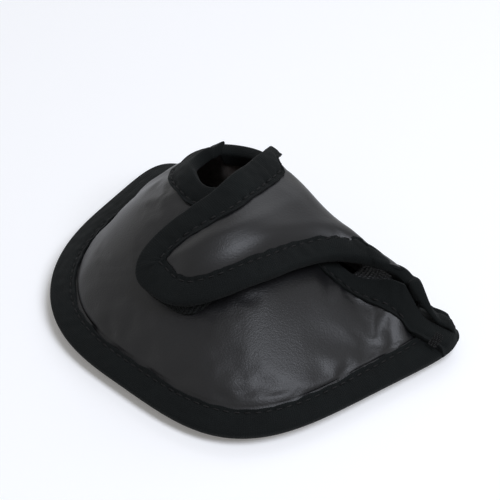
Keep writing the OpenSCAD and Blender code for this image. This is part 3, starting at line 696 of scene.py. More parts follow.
FOLD_Y, FOLD_HEEL_X, FOLD_TOE_X, FOLD_GAP, FOLD_HEAD = 36.5, -13.0, 47.0, 0.4, 1.2
RIDGE_RISE, NECK_RISE, FACE_BULGE = 22.75, 12.5, 2.5
FOLD_FOAM = FOAM_T - 0.8
FOLD_T = SKIN_T + FOLD_FOAM + LINING_T + 2 * PLY_GAP
FOLD_DROP, FOLD_SHARE, NECK_SHARE, HEEL_REACH = FOLD_T + FOLD_HEAD, 0.6, 0.8, 0.95
RIDGE_END = BODY["toe"] + 1.2
FLAP_REACH, FOLD_W = 63.0, FOLD_TOE_X - FOLD_HEEL_X
PATCH_T, CLOSURE_GAP = 1.2, 0.3
HOOK_BASE = TAPE_T + 2 * PLY_GAP
FLAP_GAP = (2 * PATCH_T + CLOSURE_GAP + PLY_GAP + HOOK_BASE) / math.cos(math.radians(36))
WALL_CORNER = oval(np.array(SLIT_END + CORNER_GAP), BODY)


def ridge(x):
    """Height of the fold over the putter head."""
    return (
        SEAM_Z
        + RIDGE_RISE * np.sqrt(np.maximum(0, 1 - np.clip(np.abs(x) / RIDGE_END, 0, 1) ** 5))
        + NECK_RISE * np.exp(-(((x - FOLD_HEEL_X) / 19.5) ** 2))
    )


def wall_top(s):
    """Top edge of the wall: s is 0 at the toe corner and 1 at the heel corner."""
    t = s / FOLD_SHARE
    x = mix(WALL_CORNER[0], FOLD_HEEL_X, t)
    y = mix(
        FOLD_Y + FOLD_GAP,
        WALL_CORNER[1] + 0.5,
        ease((x - FOLD_TOE_X) / (WALL_CORNER[0] - FOLD_TOE_X)),
    )
    y = y + 2.5 * ease((x - FOLD_TOE_X + 14) / 16) * ease((WALL_CORNER[0] - x) / 5)
    under = 1 - ease((x - FOLD_TOE_X - 1) / 7)
    toe = np.stack([x, y, np.maximum(SEAM_Z + 3, ridge(x) - FOLD_DROP * under)], -1)

    t = np.clip((s - FOLD_SHARE) / (NECK_SHARE - FOLD_SHARE), 0, 1)
    first = np.array([FOLD_HEEL_X, FOLD_Y]) - NECK
    a = mix(math.degrees(math.atan2(first[1], first[0])), HEEL_WAY, t)
    r = mix(np.linalg.norm(first), COLLAR_HEEL_R, t)
    p = NECK + r[..., None] * round_at(a)
    heel_lap = EDGE_T + FOLD_GAP
    p = p + np.stack([0 * t, mix(FOLD_GAP, heel_lap, t)], -1)
    sag = 2.0 * np.abs(np.sin(np.pi * t)) ** 0.8
    neck = lift(p, mix(ridge(FOLD_HEEL_X) - FOLD_DROP, tent(heel_neck), t) - sag)

    t = np.clip((s - NECK_SHARE) / (1 - NECK_SHARE), 0, 1)
    p = mix(heel_neck, heel_corner, (t * HEEL_REACH)[..., None])
    heel = lift(p + [0, heel_lap], np.maximum(SEAM_Z + 2.6, tent(p) - 0.3))
    s = s[..., None]
    return np.where(s <= FOLD_SHARE, toe, np.where(s <= NECK_SHARE, neck, heel))


def wall_seam(s):
    """Angle at which the wall meets the flange."""
    toe = BODY["face"] / math.tan(math.radians(SLIT_END + CORNER_GAP))
    return np.degrees(np.arctan2(BODY["face"], mix(toe, -BODY["heel"] + 2, s)))


def wall_at(s, v):
    """A point of the wall's outer face: v runs from the seam up to the top edge."""
    low = lift(oval(wall_seam(s), BODY), SEAM_Z)
    full = ease(s / 0.15) * ease((1 - s) / 0.15)
    p = mix(low, wall_top(s), v[..., None])
    p[..., 1] += FACE_BULGE * 4 * v * (1 - v) * full
    return p


def wall_normal(s, v):
    h = 0.01
    s0, s1 = np.maximum(0, s - h), np.minimum(1, s + h)
    v0, v1 = np.maximum(0, v - h), np.minimum(1, v + h)
    return unit(np.cross(wall_at(s1, v) - wall_at(s0, v), wall_at(s, v1) - wall_at(s, v0)))


def wall_span(s):
    return np.linalg.norm(wall_top(s) - lift(oval(wall_seam(s), BODY), SEAM_Z), axis=-1)


# Outline of the tongue, in shares of the fold's length and of its reach.
FLAP_OUTLINE = np.array(
    [(0.02, 0), (0.05, 0.12), (0.09, 0.3), (0.115, 0.49), (0.075, 0.62), (0.03, 0.73)]
    + [(0.005, 0.85), (0.02, 0.93), (0.075, 0.985), (0.17, 1), (0.3, 0.995), (0.425, 0.94)]
    + [(0.53, 0.81), (0.605, 0.6), (0.64, 0.42), (0.695, 0.25), (0.8, 0.125), (0.98, 0)]
)
FLAP_SIDE, FLAP_LAST = 6, len(FLAP_OUTLINE) - 1
before = 2 * FLAP_OUTLINE[:1] - FLAP_OUTLINE[1:2]
after = 2 * FLAP_OUTLINE[-1:] - FLAP_OUTLINE[-2:-1]
outline_run_on = np.concatenate([before, FLAP_OUTLINE, after])


def flap_edge(t):
    """Plan of the tongue's outline, as a smooth curve through its points."""
    t = np.clip(np.asarray(t, float), 0, FLAP_LAST)
    i = np.minimum(FLAP_LAST - 1, t.astype(int))
    f = (t - i)[..., None]
    a, b, c, d = (outline_run_on[i + k] for k in range(4))
    p = 0.5 * (
        2 * b + (c - a) * f + (2 * a - 5 * b + 4 * c - d) * f**2 + (3 * b - a - 3 * c + d) * f**3
    )
    return np.stack([FOLD_HEEL_X + p[..., 0] * FOLD_W, FOLD_Y - p[..., 1] * FLAP_REACH], -1)


def flap_plan(u, v):
    """u runs from heel to toe, v from the fold to the tip."""
    end = FLAP_LAST - FLAP_SIDE
    uu, ww = u[..., None], v[..., None]
    heel, toe = flap_edge(v * FLAP_SIDE), flap_edge(FLAP_LAST - v * FLAP_SIDE)
    tip = flap_edge(mix(FLAP_SIDE, end, u))
    corners = [flap_edge(t) for t in (0, FLAP_SIDE, FLAP_LAST, end)]
    root = mix(corners[0], corners[2], uu)
    return (
        (1 - uu) * heel
        + uu * toe
        + (1 - ww) * root
        + ww * tip
        - (1 - uu) * ((1 - ww) * corners[0] + ww * corners[1])
        - uu * ((1 - ww) * corners[2] + ww * corners[3])
    )


def flap_under(p):
    """Height of the lining's under face."""
    x, y = p[..., 0], np.minimum(p[..., 1], FOLD_Y)
    t = np.clip((y - 5) / (FOLD_Y - 5), 0, 1)
    over = tent(np.stack([x, 0 * x + FOLD_Y], -1)) + FLAP_GAP + FOLD_T - ridge(x)
    return tent(np.stack([x, y], -1)) + FLAP_GAP - over * t * t


def flap_at(p, up):
    """A point of the flap, up from the lining's under face."""
    h = 0.2
    q = np.stack([p[..., 0], np.minimum(p[..., 1], FOLD_Y - h)], -1)
    z = flap_under(q)
    nx, ny = (z - flap_under(q + [h, 0])) / h, (z - flap_under(q + [0, h])) / h
    n = unit(np.stack([nx, ny, np.ones_like(z)], -1))
    keep = ease((FOLD_Y - p[..., 1]) / 6)
    n = unit(np.stack([n[..., 0] * keep, n[..., 1] * keep, n[..., 2]], -1))
    return lift(p, flap_under(p)) + n * np.asarray(up)[..., None]


flap_rim = flap_edge(np.linspace(0, FLAP_LAST, 121))


def flap_inside(p):
    """Distance from a point of the tongue to its edge."""
    return np.linalg.norm(p[..., None, :] - flap_rim, axis=-1).min(-1)


# The tape shows less on the tongue's lower side, where the stuffing rolls over towards it.
LOW_SIDE = 1.8
# The tongue's middle line from tip to fold, as its y and its x.
MIDDLE_LINE = [-26, -14.5, -1.3, 10, 20.7, 36.5], [-1, 3, 7.6, 9.5, 10, 17]


def flap_foam(p, v):
    full = mix(1.25 * FOAM_T, FOLD_FOAM, ease((0.16 - v) / 0.16))
    middle = np.interp(p[..., 1], *MIDDLE_LINE)
    low = ease((p[..., 0] - middle + 5) / 10)
    t = np.clip((flap_inside(p) - TAPE_LAP + LOW_SIDE * low + 1) / (11 - 5 * low), 0, 1)
    return mix(PINCH_T, full, 1 - (1 - t) ** 2)


def tongue_surface(wall_s, start, level_flap, v, curve_rows, inset=0.0):
    """The tongue carried on from the wall's top edge, round the fold and out to its tip."""
    u = (mix(WALL_CORNER[0], FOLD_HEEL_X, wall_s / FOLD_SHARE) - flap_edge(0)[0]) / (
        flap_edge(FLAP_LAST)[0] - flap_edge(0)[0]
    )
    uu, vv = np.meshgrid(u, v, indexing="ij")
    uu = mix(uu, 0.5, inset * (2 + 6 * ease((0.3 - vv) / 0.3)))
    p = flap_plan(uu, vv)
    sheet = flap_at(p, level_flap(p, vv))
    slope = sheet[:, 0] - sheet[:, 1]
    reach = np.maximum(0.1, start[:, 1] - sheet[:, 0, 1]) / np.maximum(0.05, slope[:, 1])
    knee = sheet[:, 0] + slope * np.clip(reach, 0, 6)[:, None]
    knee[:, 2] = np.maximum(knee[:, 2], start[:, 2] + 1)
    t = np.linspace(0, 1, curve_rows + 2)[1:-1]
    fold = bezier(start[:, None], knee[:, None], sheet[:, 0][:, None], t[None, :])
    return np.concatenate([fold, sheet], 1)


# Columns run from the toe corner to the heel corner; those under the tongue line up with it.
split = [
    FOLD_SHARE * (WALL_CORNER[0] - x) / (WALL_CORNER[0] - FOLD_HEEL_X)
    for x in (flap_edge(FLAP_LAST)[0], flap_edge(0)[0])
]
toe_columns = np.linspace(0, split[0], 10)[:-1]
tongue_columns = np.linspace(split[0], split[1], 41)
heel_columns = np.linspace(split[1], 1, 48)
wall_rows = np.linspace(0, 1, 14)[1:]
tongue_rows = np.concatenate([[0.075, 0.09], np.linspace(0.11, 1, 44)])


def wall_relief(s, v, span):
    e = np.minimum(v, 1 - v) * span
    p = np.stack([s * 130, v * span], -1)
    return (0.35 * waves(p, 22, 5) + 0.15 * waves(p, 8, 6)) * ease(e / 6)


# Under the tape at the toe the wall's cut edge stops this much short.
TOE_TRIM = 2.6


def wall_surface(s, rows, depth):
    ss, vv = np.meshgrid(s, rows, indexing="ij")
    span = wall_span(ss)
    vv = vv * (1 - TOE_TRIM / span * ease((split[0] - ss) / 0.012))
    out = wall_relief(ss, vv, span)[..., None] - depth(ss, vv, span)[..., None]
    return wall_at(ss, vv) + wall_normal(ss, vv) * out


def skirt_surface(s):
    turned, out = np.meshgrid(wall_seam(s), SKIRT_SHARES[::-1], indexing="ij")
    return flange(turned, out * skirt(turned), 0 * out - SKIN_T / 2)


def flap_relief(p):
    """Fullness of the flap: a long soft swell near its lower side, and a shallow dip above."""
    e = flap_inside(p)
    swell = crease(p, (-16, -22), (36, 24), 9, 0.7) + 0.3 * waves(p, 24, 21)
    return swell * ease((e - TAPE_LAP + 2) / 7)


def joined_grid(side, tongue, joint):
    """Wall columns and tongue rows as one mesh; the tongue starts on the wall's top edge."""
    n, m = side.shape[:2]
    count, rows = tongue.shape[:2]
    points = np.concatenate([side.reshape(-1, 3), tongue.reshape(-1, 3)])
    on_wall = (np.arange(joint, joint + count) * m + m - 1)[:, None]
    index = np.concatenate([on_wall, n * m + np.arange(count * rows).reshape(count, rows)], 1)
    corners = [index[:-1, :-1], index[1:, :-1], index[1:, 1:], index[:-1, 1:]]
    return points, np.concatenate([grid_faces(n, m), np.stack(corners, -1).reshape(-1, 4)])


def wall_skin_depth(s, v, span):
    return 0 * s + SKIN_T / 2


front_part = np.concatenate([toe_columns, tongue_columns])
wall = wall_surface(front_part, wall_rows, wall_skin_depth)
wall = np.concatenate([skirt_surface(front_part), wall], 1)
tongue = tongue_surface(
    tongue_columns,
    wall[len(toe_columns) :, -1],
    lambda p, v: LINING_T + 2 * PLY_GAP + SKIN_T / 2 + flap_foam(p, v) + flap_relief(p),
    tongue_rows,
    5,
)
points, faces = joined_grid(wall, tongue, len(toe_columns))
flap_leather = slab("flap_leather", points, faces, SKIN_T / 2, SKIN_T / 2, pu_leather)
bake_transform(flap_leather)
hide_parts("face_panel", "face_padding", "flap_panel", "flap_padding")

heel_wall = wall_surface(heel_columns, wall_rows, wall_skin_depth)
heel_wall = np.concatenate([skirt_surface(heel_columns), heel_wall], 1)
wall_leather = slab(
    "wall_leather_heel",
    heel_wall,
    grid_faces(*heel_wall.shape[:2]),
    SKIN_T / 2,
    SKIN_T / 2,
    pu_leather,
)
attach(wall_leather, "cover")


def wall_lining_depth(s, v, span):
    e = np.minimum((1 - v) * span - 7, v * span - 1)
    foam = mix(PINCH_T, FOAM_T, ease(e / 8) * ease(s / 0.14) * ease((1 - s) / 0.2))
    return SKIN_T + 2 * PLY_GAP + LINING_T / 2 + foam


# The lining of wall and tongue, glued to the foam. It shows in the mouth and when the flap
# is open, down to the tape all round.
inner_rows = np.linspace(0.16, 1, 12)
toe_inner = toe_columns[2:]
inner_part = np.concatenate([toe_inner, tongue_columns])
inner_wall = wall_surface(inner_part, inner_rows, wall_lining_depth)
inner_tongue = tongue_surface(
    tongue_columns,
    inner_wall[len(toe_inner) :, -1],
    lambda p, v: LINING_T / 2 + 0 * v,
    tongue_rows * 0.97,
    4,
    inset=0.035,
)
points, faces = joined_grid(inner_wall, inner_tongue, len(toe_inner))
flap_lining = slab("flap_lining_cloth", points, faces, LINING_T / 2, LINING_T / 2, knit_lining)
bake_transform(flap_lining)
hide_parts("face_lining", "flap_lining")

inner_heel = wall_surface(heel_columns[:-2], inner_rows, wall_lining_depth)
wall_lining = slab(
    "wall_lining_cloth",
    inner_heel,
    grid_faces(*inner_heel.shape[:2]),
    LINING_T / 2,
    LINING_T / 2,
    knit_lining,
)
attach(wall_lining, "cover")

# ---- Closure -------------------------------------------------------------------------------
# A squared patch of loop pile is sewn to the front panel, and a smaller one of hooks under the
# flap's tip. Woven nylon backings with pile in rows, in a fine ribbing whose grooves carry
# painted shade.
# At a scale of 1 a wave texture has one band every 0.314 units.
WAVE_BAND = 0.314
ROW_MM, PILE_MM = 1.3, 0.5
closure_pile, tree = new_material("closure_pile")
place = add(tree, "ShaderNodeTexCoord").outputs["Object"]
rows = add(
    tree,
    "ShaderNodeTexWave",
    {
        "Vector": place,
        "Scale": 1000 * WAVE_BAND / ROW_MM,
        "Distortion": 1.2,
        "Detail": 2,
        "Detail Scale": 3,
    },
    bands_direction="X",
)
pile = add(tree, "ShaderNodeTexVoronoi", {"Vector": place, "Scale": 1000 / PILE_MM})
rise = add(
    tree,
    "ShaderNodeMath",
    {0: pile.outputs["Distance"], 1: -0.8, 2: rows.outputs["Fac"]},
    operation="MULTIPLY_ADD",
)
# Painted shade: the colour follows the rows' height, darker in the grooves between rows and
# lighter on their crests.
tone = add(
    tree,
    "ShaderNodeMixRGB",
    {"Fac": rows.outputs["Fac"], "Color1": colour("#070808"), "Color2": colour("#121414")},
)
close_material(
    tree,
    {"Base Color": tone.outputs["Color"], "Roughness": 0.8, "Specular IOR Level": 0.15},
    rise.outputs["Value"],
    depth_mm=0.4,
)
# Sewn a little higher up the slope than drawn, so that the closed flap nearly hides it.
PATCH_MIDDLE = np.array([FOLD_HEEL_X + 0.215 * FOLD_W + 0.6, FOLD_Y - 0.83 * FLAP_REACH + 2.4])
LOOP_HALF, HOOK_MARGIN, SQUARENESS = np.array([14.0, 12.0]), 5.0, 3.4


def patch_plan(a, v, margin):
    half = LOOP_HALF - margin
    way = round_at(a)
    r = ((np.abs(way) / half) ** SQUARENESS).sum(-1) ** (-1 / SQUARENESS)
    return PATCH_MIDDLE + way * (r * v)[..., None]


patch_angles, patch_rows = np.linspace(0, 360, 121)[:-1], np.linspace(0.002, 1, 22)
aa, vv = np.meshgrid(patch_angles, patch_rows, indexing="ij")
p = patch_plan(aa, vv, 0)
# Pile stands in rows across the patch, and the border lies flat under the stitches.
pile_height = 0.12 * np.sin(FULL_TURN * p[..., 0] / ROW_MM) * ease((1 - vv) / 0.1)
level = PLY_GAP + PATCH_T - 0.35 + pile_height - 0.35 * ease((vv - 0.84) / 0.1)
loop_patch = slab(
    "loop_pile_patch",
    lift(p, tent(p)) + tent_normal(p) * level[..., None],
    grid_faces(*aa.shape, loop=True),
    0.35,
    0.5,
    closure_pile,
)
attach(loop_patch, "cover")
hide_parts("loop_patch")

p = patch_plan(aa, vv, HOOK_MARGIN)
hook_height = 0.1 * np.sin(FULL_TURN * p[..., 0] / ROW_MM) * ease((1 - vv) / 0.1)
level = -HOOK_BASE - PATCH_T / 2 - hook_height
hook_patch = slab(
    "hook_pile_patch",
    flap_at(p, level),
    grid_faces(*aa.shape, loop=True),
    0.45,
    0.35,
    closure_pile,
)
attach(hook_patch, "flap")
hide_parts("hook_patch")

# Sewing thread: black twisted polyester, about 0.5 mm thick, a little shinier than the tape.
TWIST_MM = 0.25
sewing_thread, tree = new_material("sewing_thread")
place = add(tree, "ShaderNodeTexCoord").outputs["Object"]
twist = add(tree, "ShaderNodeTexNoise", {"Vector": place, "Scale": 1000 / TWIST_MM, "Detail": 2})
tone = add(
    tree,
    "ShaderNodeMixRGB",
    {"Fac": twist.outputs["Fac"], "Color1": colour("#030303"), "Color2": colour("#0a0a0b")},
)
close_material(
    tree,
    {"Base Color": tone.outputs["Color"], "Roughness": 0.7, "Specular IOR Level": 0.2},
    twist.outputs["Fac"],
    depth_mm=0.06,
)
THREAD_T, PITCH, SUNK, DIVE = 0.55, 3.3, 0.1, 0.45


def stitches(name, points, normals, pitch=PITCH, length=2.5, closed=False, thick=THREAD_T):
    """A row of lockstitches: short stuffed lengths of thread, each ending in its needle hole."""
    points = np.concatenate([points, points[:1]]) if closed else points
    normals = np.concatenate([normals, normals[:1]]) if closed else normals
    run = running(points)
    count = max(1, int(run[-1] / pitch))
    at = (np.arange(count) + 0.5) * run[-1] / count
    bars, rounds = 6, 8
    verts, faces = [], []
    for k, middle in enumerate(at):
        t = np.linspace(-1, 1, bars + 1)
        place = middle + t * length / 2
        p = np.stack([np.interp(place, run, points[:, i]) for i in range(3)], -1)
        n = unit(np.stack([np.interp(place, run, normals[:, i]) for i in range(3)], -1))
        side = unit(np.cross(np.gradient(p, axis=0), n))
        radius = thick / 2 * np.sqrt(np.maximum(0.04, 1 - t**4))
        height = thick * 0.3 - SUNK - DIVE * t**4
        turn = np.arange(rounds) * 2 * np.pi / rounds
        ring = (
            (p + n * height[:, None])[:, None]
            + n[:, None] * (radius[:, None] * np.sin(turn))[..., None]
            + side[:, None] * (radius[:, None] * np.cos(turn))[..., None]
        )
        base = k * (bars + 1) * rounds
        verts.append(ring.reshape(-1, 3))
        for i in range(bars):
            near, far = base + i * rounds, base + (i + 1) * rounds
            for j in range(rounds):
                q = (j + 1) % rounds
                faces.append((near + j, near + q, far + q, far + j))
        faces.append(tuple(base + j for j in range(rounds))[::-1])
        faces.append(tuple(base + bars * rounds + j for j in range(rounds)))
    mesh = bpy.data.meshes.new(name)
    mesh.from_pydata((np.concatenate(verts) / 1000).tolist(), [], faces)
    made = finished(name, mesh, sewing_thread)
    return made


patch_sewing = {"pitch": 2.6, "length": 2.0, "closed": True, "thick": 0.4}
p = patch_plan(patch_angles, 0 * patch_angles + 1, 1.6)
n = tent_normal(p)
seam = lift(p, tent(p)) + n * (PATCH_T + 0.02)
made = stitches("loop_patch_stitches", seam, n, **patch_sewing)
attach(made, "cover")
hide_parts("loop_patch_stitching")
p = patch_plan(patch_angles, 0 * patch_angles + 1, HOOK_MARGIN + 1.4)
seam = flap_at(p, -HOOK_BASE - PATCH_T - 0.05 + 0 * patch_angles)
n = unit(seam - flap_at(p, 0 * patch_angles))
made = stitches("hook_patch_stitches", seam, n, **patch_sewing)
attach(made, "flap")
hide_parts("hook_patch_stitching")

# ---- Edge tape -----------------------------------------------------------------------------
# Every cut edge is bound with a folded tape, a soft knit polyester, matt and almost black. A
# line of lockstitch near its inner edge draws it in, so it puckers and its lip stands up.

# The knit's 0.35 mm wales are drawn at 0.7 mm so that they show.
WALE_MM, FLUFF_MM, SHADE_MM = 0.7, 1.6, 9
knit_tape, tree = new_material("knit_tape")
lengths = add(tree, "ShaderNodeTexCoord").outputs["UV"]
place = add(tree, "ShaderNodeTexCoord").outputs["Object"]
wave = {"Vector": lengths, "Distortion": 1.0, "Detail": 2, "Detail Scale": 2}
wales = add(
    tree, "ShaderNodeTexWave", {**wave, "Scale": WAVE_BAND / WALE_MM}, bands_direction="X"
)
courses = add(
    tree,
    "ShaderNodeTexWave",
    {**wave, "Scale": WAVE_BAND / (WALE_MM * 0.8)},
    bands_direction="Y",
)
knit = add(
    tree,
    "ShaderNodeMath",
    {0: wales.outputs["Fac"], 1: courses.outputs["Fac"]},
    operation="MULTIPLY",
)
fluff = add(
    tree,
    "ShaderNodeTexNoise",
    {"Vector": place, "Scale": 1000 / FLUFF_MM, "Detail": 6, "Roughness": 0.7},
)
rise = add(
    tree,
    "ShaderNodeMath",
    {0: fluff.outputs["Fac"], 1: 1.2, 2: knit.outputs["Value"]},
    operation="MULTIPLY_ADD",
)
shade = add(tree, "ShaderNodeTexNoise", {"Vector": place, "Scale": 1000 / SHADE_MM, "Detail": 4})
tone = add(
    tree,
    "ShaderNodeMixRGB",
    {"Fac": shade.outputs["Fac"], "Color1": colour("#080a0a"), "Color2": colour("#111414")},
)
close_material(
    tree,
    {
        "Base Color": tone.outputs["Color"],
        "Roughness": 0.9,
        "Specular IOR Level": 0.12,
        "Sheen Weight": 0.015,
        "Sheen Roughness": 0.5,
    },
    rise.outputs["Value"],
    depth_mm=0.16,
    strength=0.7,
)

STITCH_IN, CURVE_GAP = 1.4, 0.15


def tape_section(lap, below, run, extra=0.0, seed=1):
    """Folded tape round an edge: how far in from the edge, and how high, for each point.

    lap is each leg's width, below the thickness it folds round, run the place along it."""
    share = np.concatenate([np.linspace(1, 0, 13), np.zeros(7), np.linspace(0, 1, 9)])
    turn = np.concatenate([np.full(13, 90.0), np.linspace(65, -65, 7), np.full(9, -90.0)])
    top = PLY_GAP + TAPE_T / 2 + extra
    low = -below - PLY_GAP - TAPE_T / 2
    lap, run = lap[:, None], run[:, None]
    path = np.stack([run[:, 0], 0 * run[:, 0]], -1)[:, None, :]
    inward = lap * share - 0.6 * np.cos(np.radians(turn)) + 0 * run
    height = mix(low, top, (1 + np.sin(np.radians(turn))) / 2) + 0 * run
    on_top = (np.arange(len(share)) < 13) * 1.0
    seam = (inward - (lap - STITCH_IN)) / 0.55
    hole = 0.65 + 0.35 * np.cos(FULL_TURN * run / PITCH)
    draw = -0.5 * np.exp(-seam * seam) * hole
    lip = np.clip(1 - (lap - inward) / 1.0, 0, 1)
    curl = lip * (0.12 + 0.12 * waves(path, 7, seed))
    full = 0.18 * np.sin(np.pi * np.clip(inward / np.maximum(lap - STITCH_IN, 0.1), 0, 1))
    wrinkle = 0.10 * waves(np.stack([run + 0 * inward, 1.3 * inward], -1), 5.5, seed + 1)
    height = height + on_top * (draw + curl + full + wrinkle * ease(inward / 2))
    inward = inward + on_top * lip * 0.25 * waves(path, 11, seed + 2)
    return inward, height


def bind(name, surface, thick=TAPE_T, loop=False):
    return slab(
        name,
        surface,
        grid_faces(*surface.shape[:2], loop=loop),
        thick / 2,
        thick / 2,
        knit_tape,
        grid_lengths(surface),
    )


def carry(before, after, count, pull=1.0):
    """Columns that carry a tape smoothly from one run of sections to the next."""
    a, b = before[-1], after[0]
    size = np.linalg.norm(b - a, axis=-1, keepdims=True).mean() * pull
    start = unit((a - before[-2]).mean(0)) * size
    end = unit((after[1] - b).mean(0)) * size
    t = np.linspace(0, 1, count + 2)[1:-1, None, None]
    return (
        (2 * t**3 - 3 * t**2 + 1) * a
        + (t**3 - 2 * t**2 + t) * start
        + (3 * t**2 - 2 * t**3) * b
        + (t**3 - t**2) * end
    )


# Round the slit and the collar of the front panel. At the toe corner its end runs down over
# the rim, and its other end was left long and stands up as a cut corner behind the neck.
steps = np.linspace(0, FRONT_N - 0.2, 600)
plan_run = running(front_edge(steps))
front_k = np.interp(np.arange(0, 400) / 399, plan_run / plan_run[-1], steps)
front_run = running(lift(front_edge(front_k), tent(front_edge(front_k))))


def front_tape_at(k, inward, height):
    """Points of the tape: in from the panel's free edge, and up from its face."""
    kk = np.broadcast_to(k[:, None], inward.shape)
    s = np.maximum(0, inward)
    p = mix(front_edge(kk), oval(front_seam(kk), BODY), (s / front_span(kk))[..., None])
    away = unit(front_edge(kk) - oval(front_seam(kk), BODY))
    p3 = lift(p, tent(p)) + tent_normal(p) * height[..., None]
    p3[..., :2] += away * np.maximum(0, -inward)[..., None]
    return p3 + settled(kk, s / front_span(kk))


front_lap = np.minimum(TAPE_LAP, front_span(front_k) - 1.2)
inward, height = tape_section(front_lap, EDGE_T, front_run, seed=31)
collar_tape = front_tape_at(front_k, inward, height)
DEG_PER_MM = 0.92


def tail_over_rim(outs, nose, lap, turn, lifts, seed):
    """Sections of a tape that crosses the flange and its tape, from the rim inwards."""
    laps = np.full(len(outs), lap)
    inward, height = tape_section(laps, -2.0, outs * 1.0, extra=1.9, seed=seed)
    a = nose + turn * DEG_PER_MM * inward
    out = np.broadcast_to(outs[:, None], inward.shape) * flange_length(a) / flange_length(nose)
    return flange(a, out, height + lifts[:, None])


corner_reach = flange_length(np.array(SLIT_END))
outs = np.linspace(corner_reach + 0.6, 2.5, 16)
arch = -2.2 * ease((outs - corner_reach + 1.5) / 2.5)
over = tail_over_rim(outs, SLIT_END + 1.5, 7.5, -1, arch, 33)
started = collar_tape[front_k > 1.0]
collar_tape = np.concatenate([over, carry(over, started, 24), started])
last = collar_tape[-1]
forward = unit((last - collar_tape[-5]).mean(0))
reach = np.linspace(0, 1, 12)[1:, None, None]
share = np.clip(np.linalg.norm(last - last[13], axis=-1) / 8.0, 0, 1)[None, :, None]
free = last + (forward * 5.0 * reach + np.array([0, 0, 3.0]) * reach**1.3) * (1 - 0.7 * share)
collar_tape = np.concatenate([collar_tape, free])
made = bind("slit_and_collar_tape", collar_tape)
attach(made, "cover")
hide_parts("front_edge_binding")


def seam_line(at, k, lap, level):
    """The stitch line's points and normals, from the tape's own surface."""
    inward = np.stack([lap - STITCH_IN, lap - STITCH_IN], -1)
    p = at(k, inward, np.broadcast_to(level, inward.shape))[:, 0]
    q = at(k, inward, np.broadcast_to(level + 1, inward.shape))[:, 0]
    return p, unit(q - p)


keep = front_span(front_k) > TAPE_LAP + 2
p, n = seam_line(front_tape_at, front_k[keep], front_lap[keep], TAPE_T + PLY_GAP - 0.15)
made = stitches("slit_and_collar_stitches", p, n)
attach(made, "cover")
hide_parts("front_edge_stitching")

# Round the rim, over both cut edges of the flange. The ends meet at the heel.
rim_angles = even_angles(460, RIM)
rim_line = flange(rim_angles, flange_length(rim_angles), 0 * rim_angles)
rim_run = running(rim_line)
rim_run = rim_run * (round(rim_run[-1] / PITCH) * PITCH / rim_run[-1])


def rim_tape_at(a, inward, height):
    aa = np.broadcast_to(a[:, None], inward.shape)
    return flange(aa, flange_length(aa) - TAPE_NOSE - inward, height)


rim_lap = flange_length(rim_angles) - TAPE_NOSE - 0.6
inward, height = tape_section(rim_lap, SANDWICH_T, rim_run, seed=41)
made = bind("perimeter_tape", rim_tape_at(rim_angles, inward, height), loop=True)
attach(made, "cover")
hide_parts("perimeter_binding")

p, n = seam_line(rim_tape_at, rim_angles, rim_lap, TAPE_T + PLY_GAP - 0.15)
made = stitches("perimeter_stitches", p, n, closed=True)
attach(made, "cover")
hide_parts("perimeter_stitching")


# Round the tongue, and on along the free edge of the wall to the toe corner, in one length
# that is let out a little past the fold at the heel side.
def flap_lap(t):
    low = LOW_SIDE * ease((t - 8.5) / 2.5) * ease((FLAP_LAST - 0.5 - t) / 2)
    return TAPE_LAP * (0.5 + 0.5 * ease(t) * ease((FLAP_LAST - t) / 1.5)) - low


def flap_inset(t, inward):
    h = 0.45
    q = flap_edge(np.minimum(FLAP_LAST, t + h)) - flap_edge(np.maximum(0, t - h))
    n = unit(np.stack([-q[..., 1], q[..., 0]], -1))
    start, end = ease(1 - t), ease(t - FLAP_LAST + 1)
    n = unit(n + np.stack([3 * (start - end), 0 * t], -1))
    p = flap_edge(t) + n * inward[..., None]
    return np.stack([p[..., 0], np.minimum(p[..., 1], FOLD_Y)], -1)


def lift_leg(y):
    return np.where(y > 0, y + CURVE_GAP, y)


def flap_tape_at(t, inward, height):
    tt = np.broadcast_to(t[:, None], inward.shape)
    return flap_at(flap_inset(tt, inward), EDGE_T + lift_leg(height))


steps = np.linspace(0, FLAP_LAST, 1200)
flap_line = flap_tape_at(steps, np.zeros((1200, 1)), np.zeros((1200, 1)))[:, 0]
flap_run = running(flap_line)
flap_t = np.interp(np.linspace(0, flap_run[-1], 420), flap_run, steps)
flap_t = flap_t[flap_t < FLAP_LAST - 0.6]
lap = flap_lap(flap_t)
inward, height = tape_section(lap, EDGE_T, np.interp(flap_t, steps, flap_run), seed=51)
flap_part = flap_tape_at(flap_t, inward, height)


def wall_tape_at(s, inward, height):
    ss = np.broadcast_to(s[:, None], inward.shape)
    v = 1 - np.maximum(0, inward) / wall_span(ss)
    p = wall_at(ss, v) + wall_normal(ss, v) * lift_leg(height)[..., None]
    p[..., 2] += np.maximum(0, -inward)
    return p


wall_s = np.linspace(0.066, 0.03, 40)
wall_lap = np.minimum(0.7 * TAPE_LAP, wall_span(wall_s) - 2)
line = wall_at(wall_s, 1 + 0 * wall_s)
inward, height = tape_section(wall_lap, EDGE_T, flap_run[-1] + running(line), seed=52)
wall_part = wall_tape_at(wall_s, inward, height)
joint = carry(flap_part, wall_part, 34, pull=0.9)
outs = np.linspace(6.5, corner_reach + 1.6, 10)
arch = 1.4 - 3.6 * ease((outs - corner_reach + 2.2) / 3.5)
over = tail_over_rim(outs, SLIT_END + 3.0, 5.5, 1, arch, 53)
wall_part = np.concatenate([wall_part, carry(wall_part, over, 24, pull=0.8), over])
# The tape's heel end is let out past the fold and cut square.
LET_OUT, CUT_FROM = 4.0, 4
away = unit((flap_part[0] - flap_part[3]).mean(0)) * LET_OUT + [0, 0, 0.5]
let_out = np.linspace(1, 0.1, 6)[:, None, None] * away
flap_part = np.concatenate([flap_part[CUT_FROM : CUT_FROM + 1] + let_out, flap_part[CUT_FROM:]])
made = bind("flap_and_wall_tape", np.concatenate([flap_part, joint, wall_part]))
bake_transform(made)
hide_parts("flap_binding", "face_edge_binding")

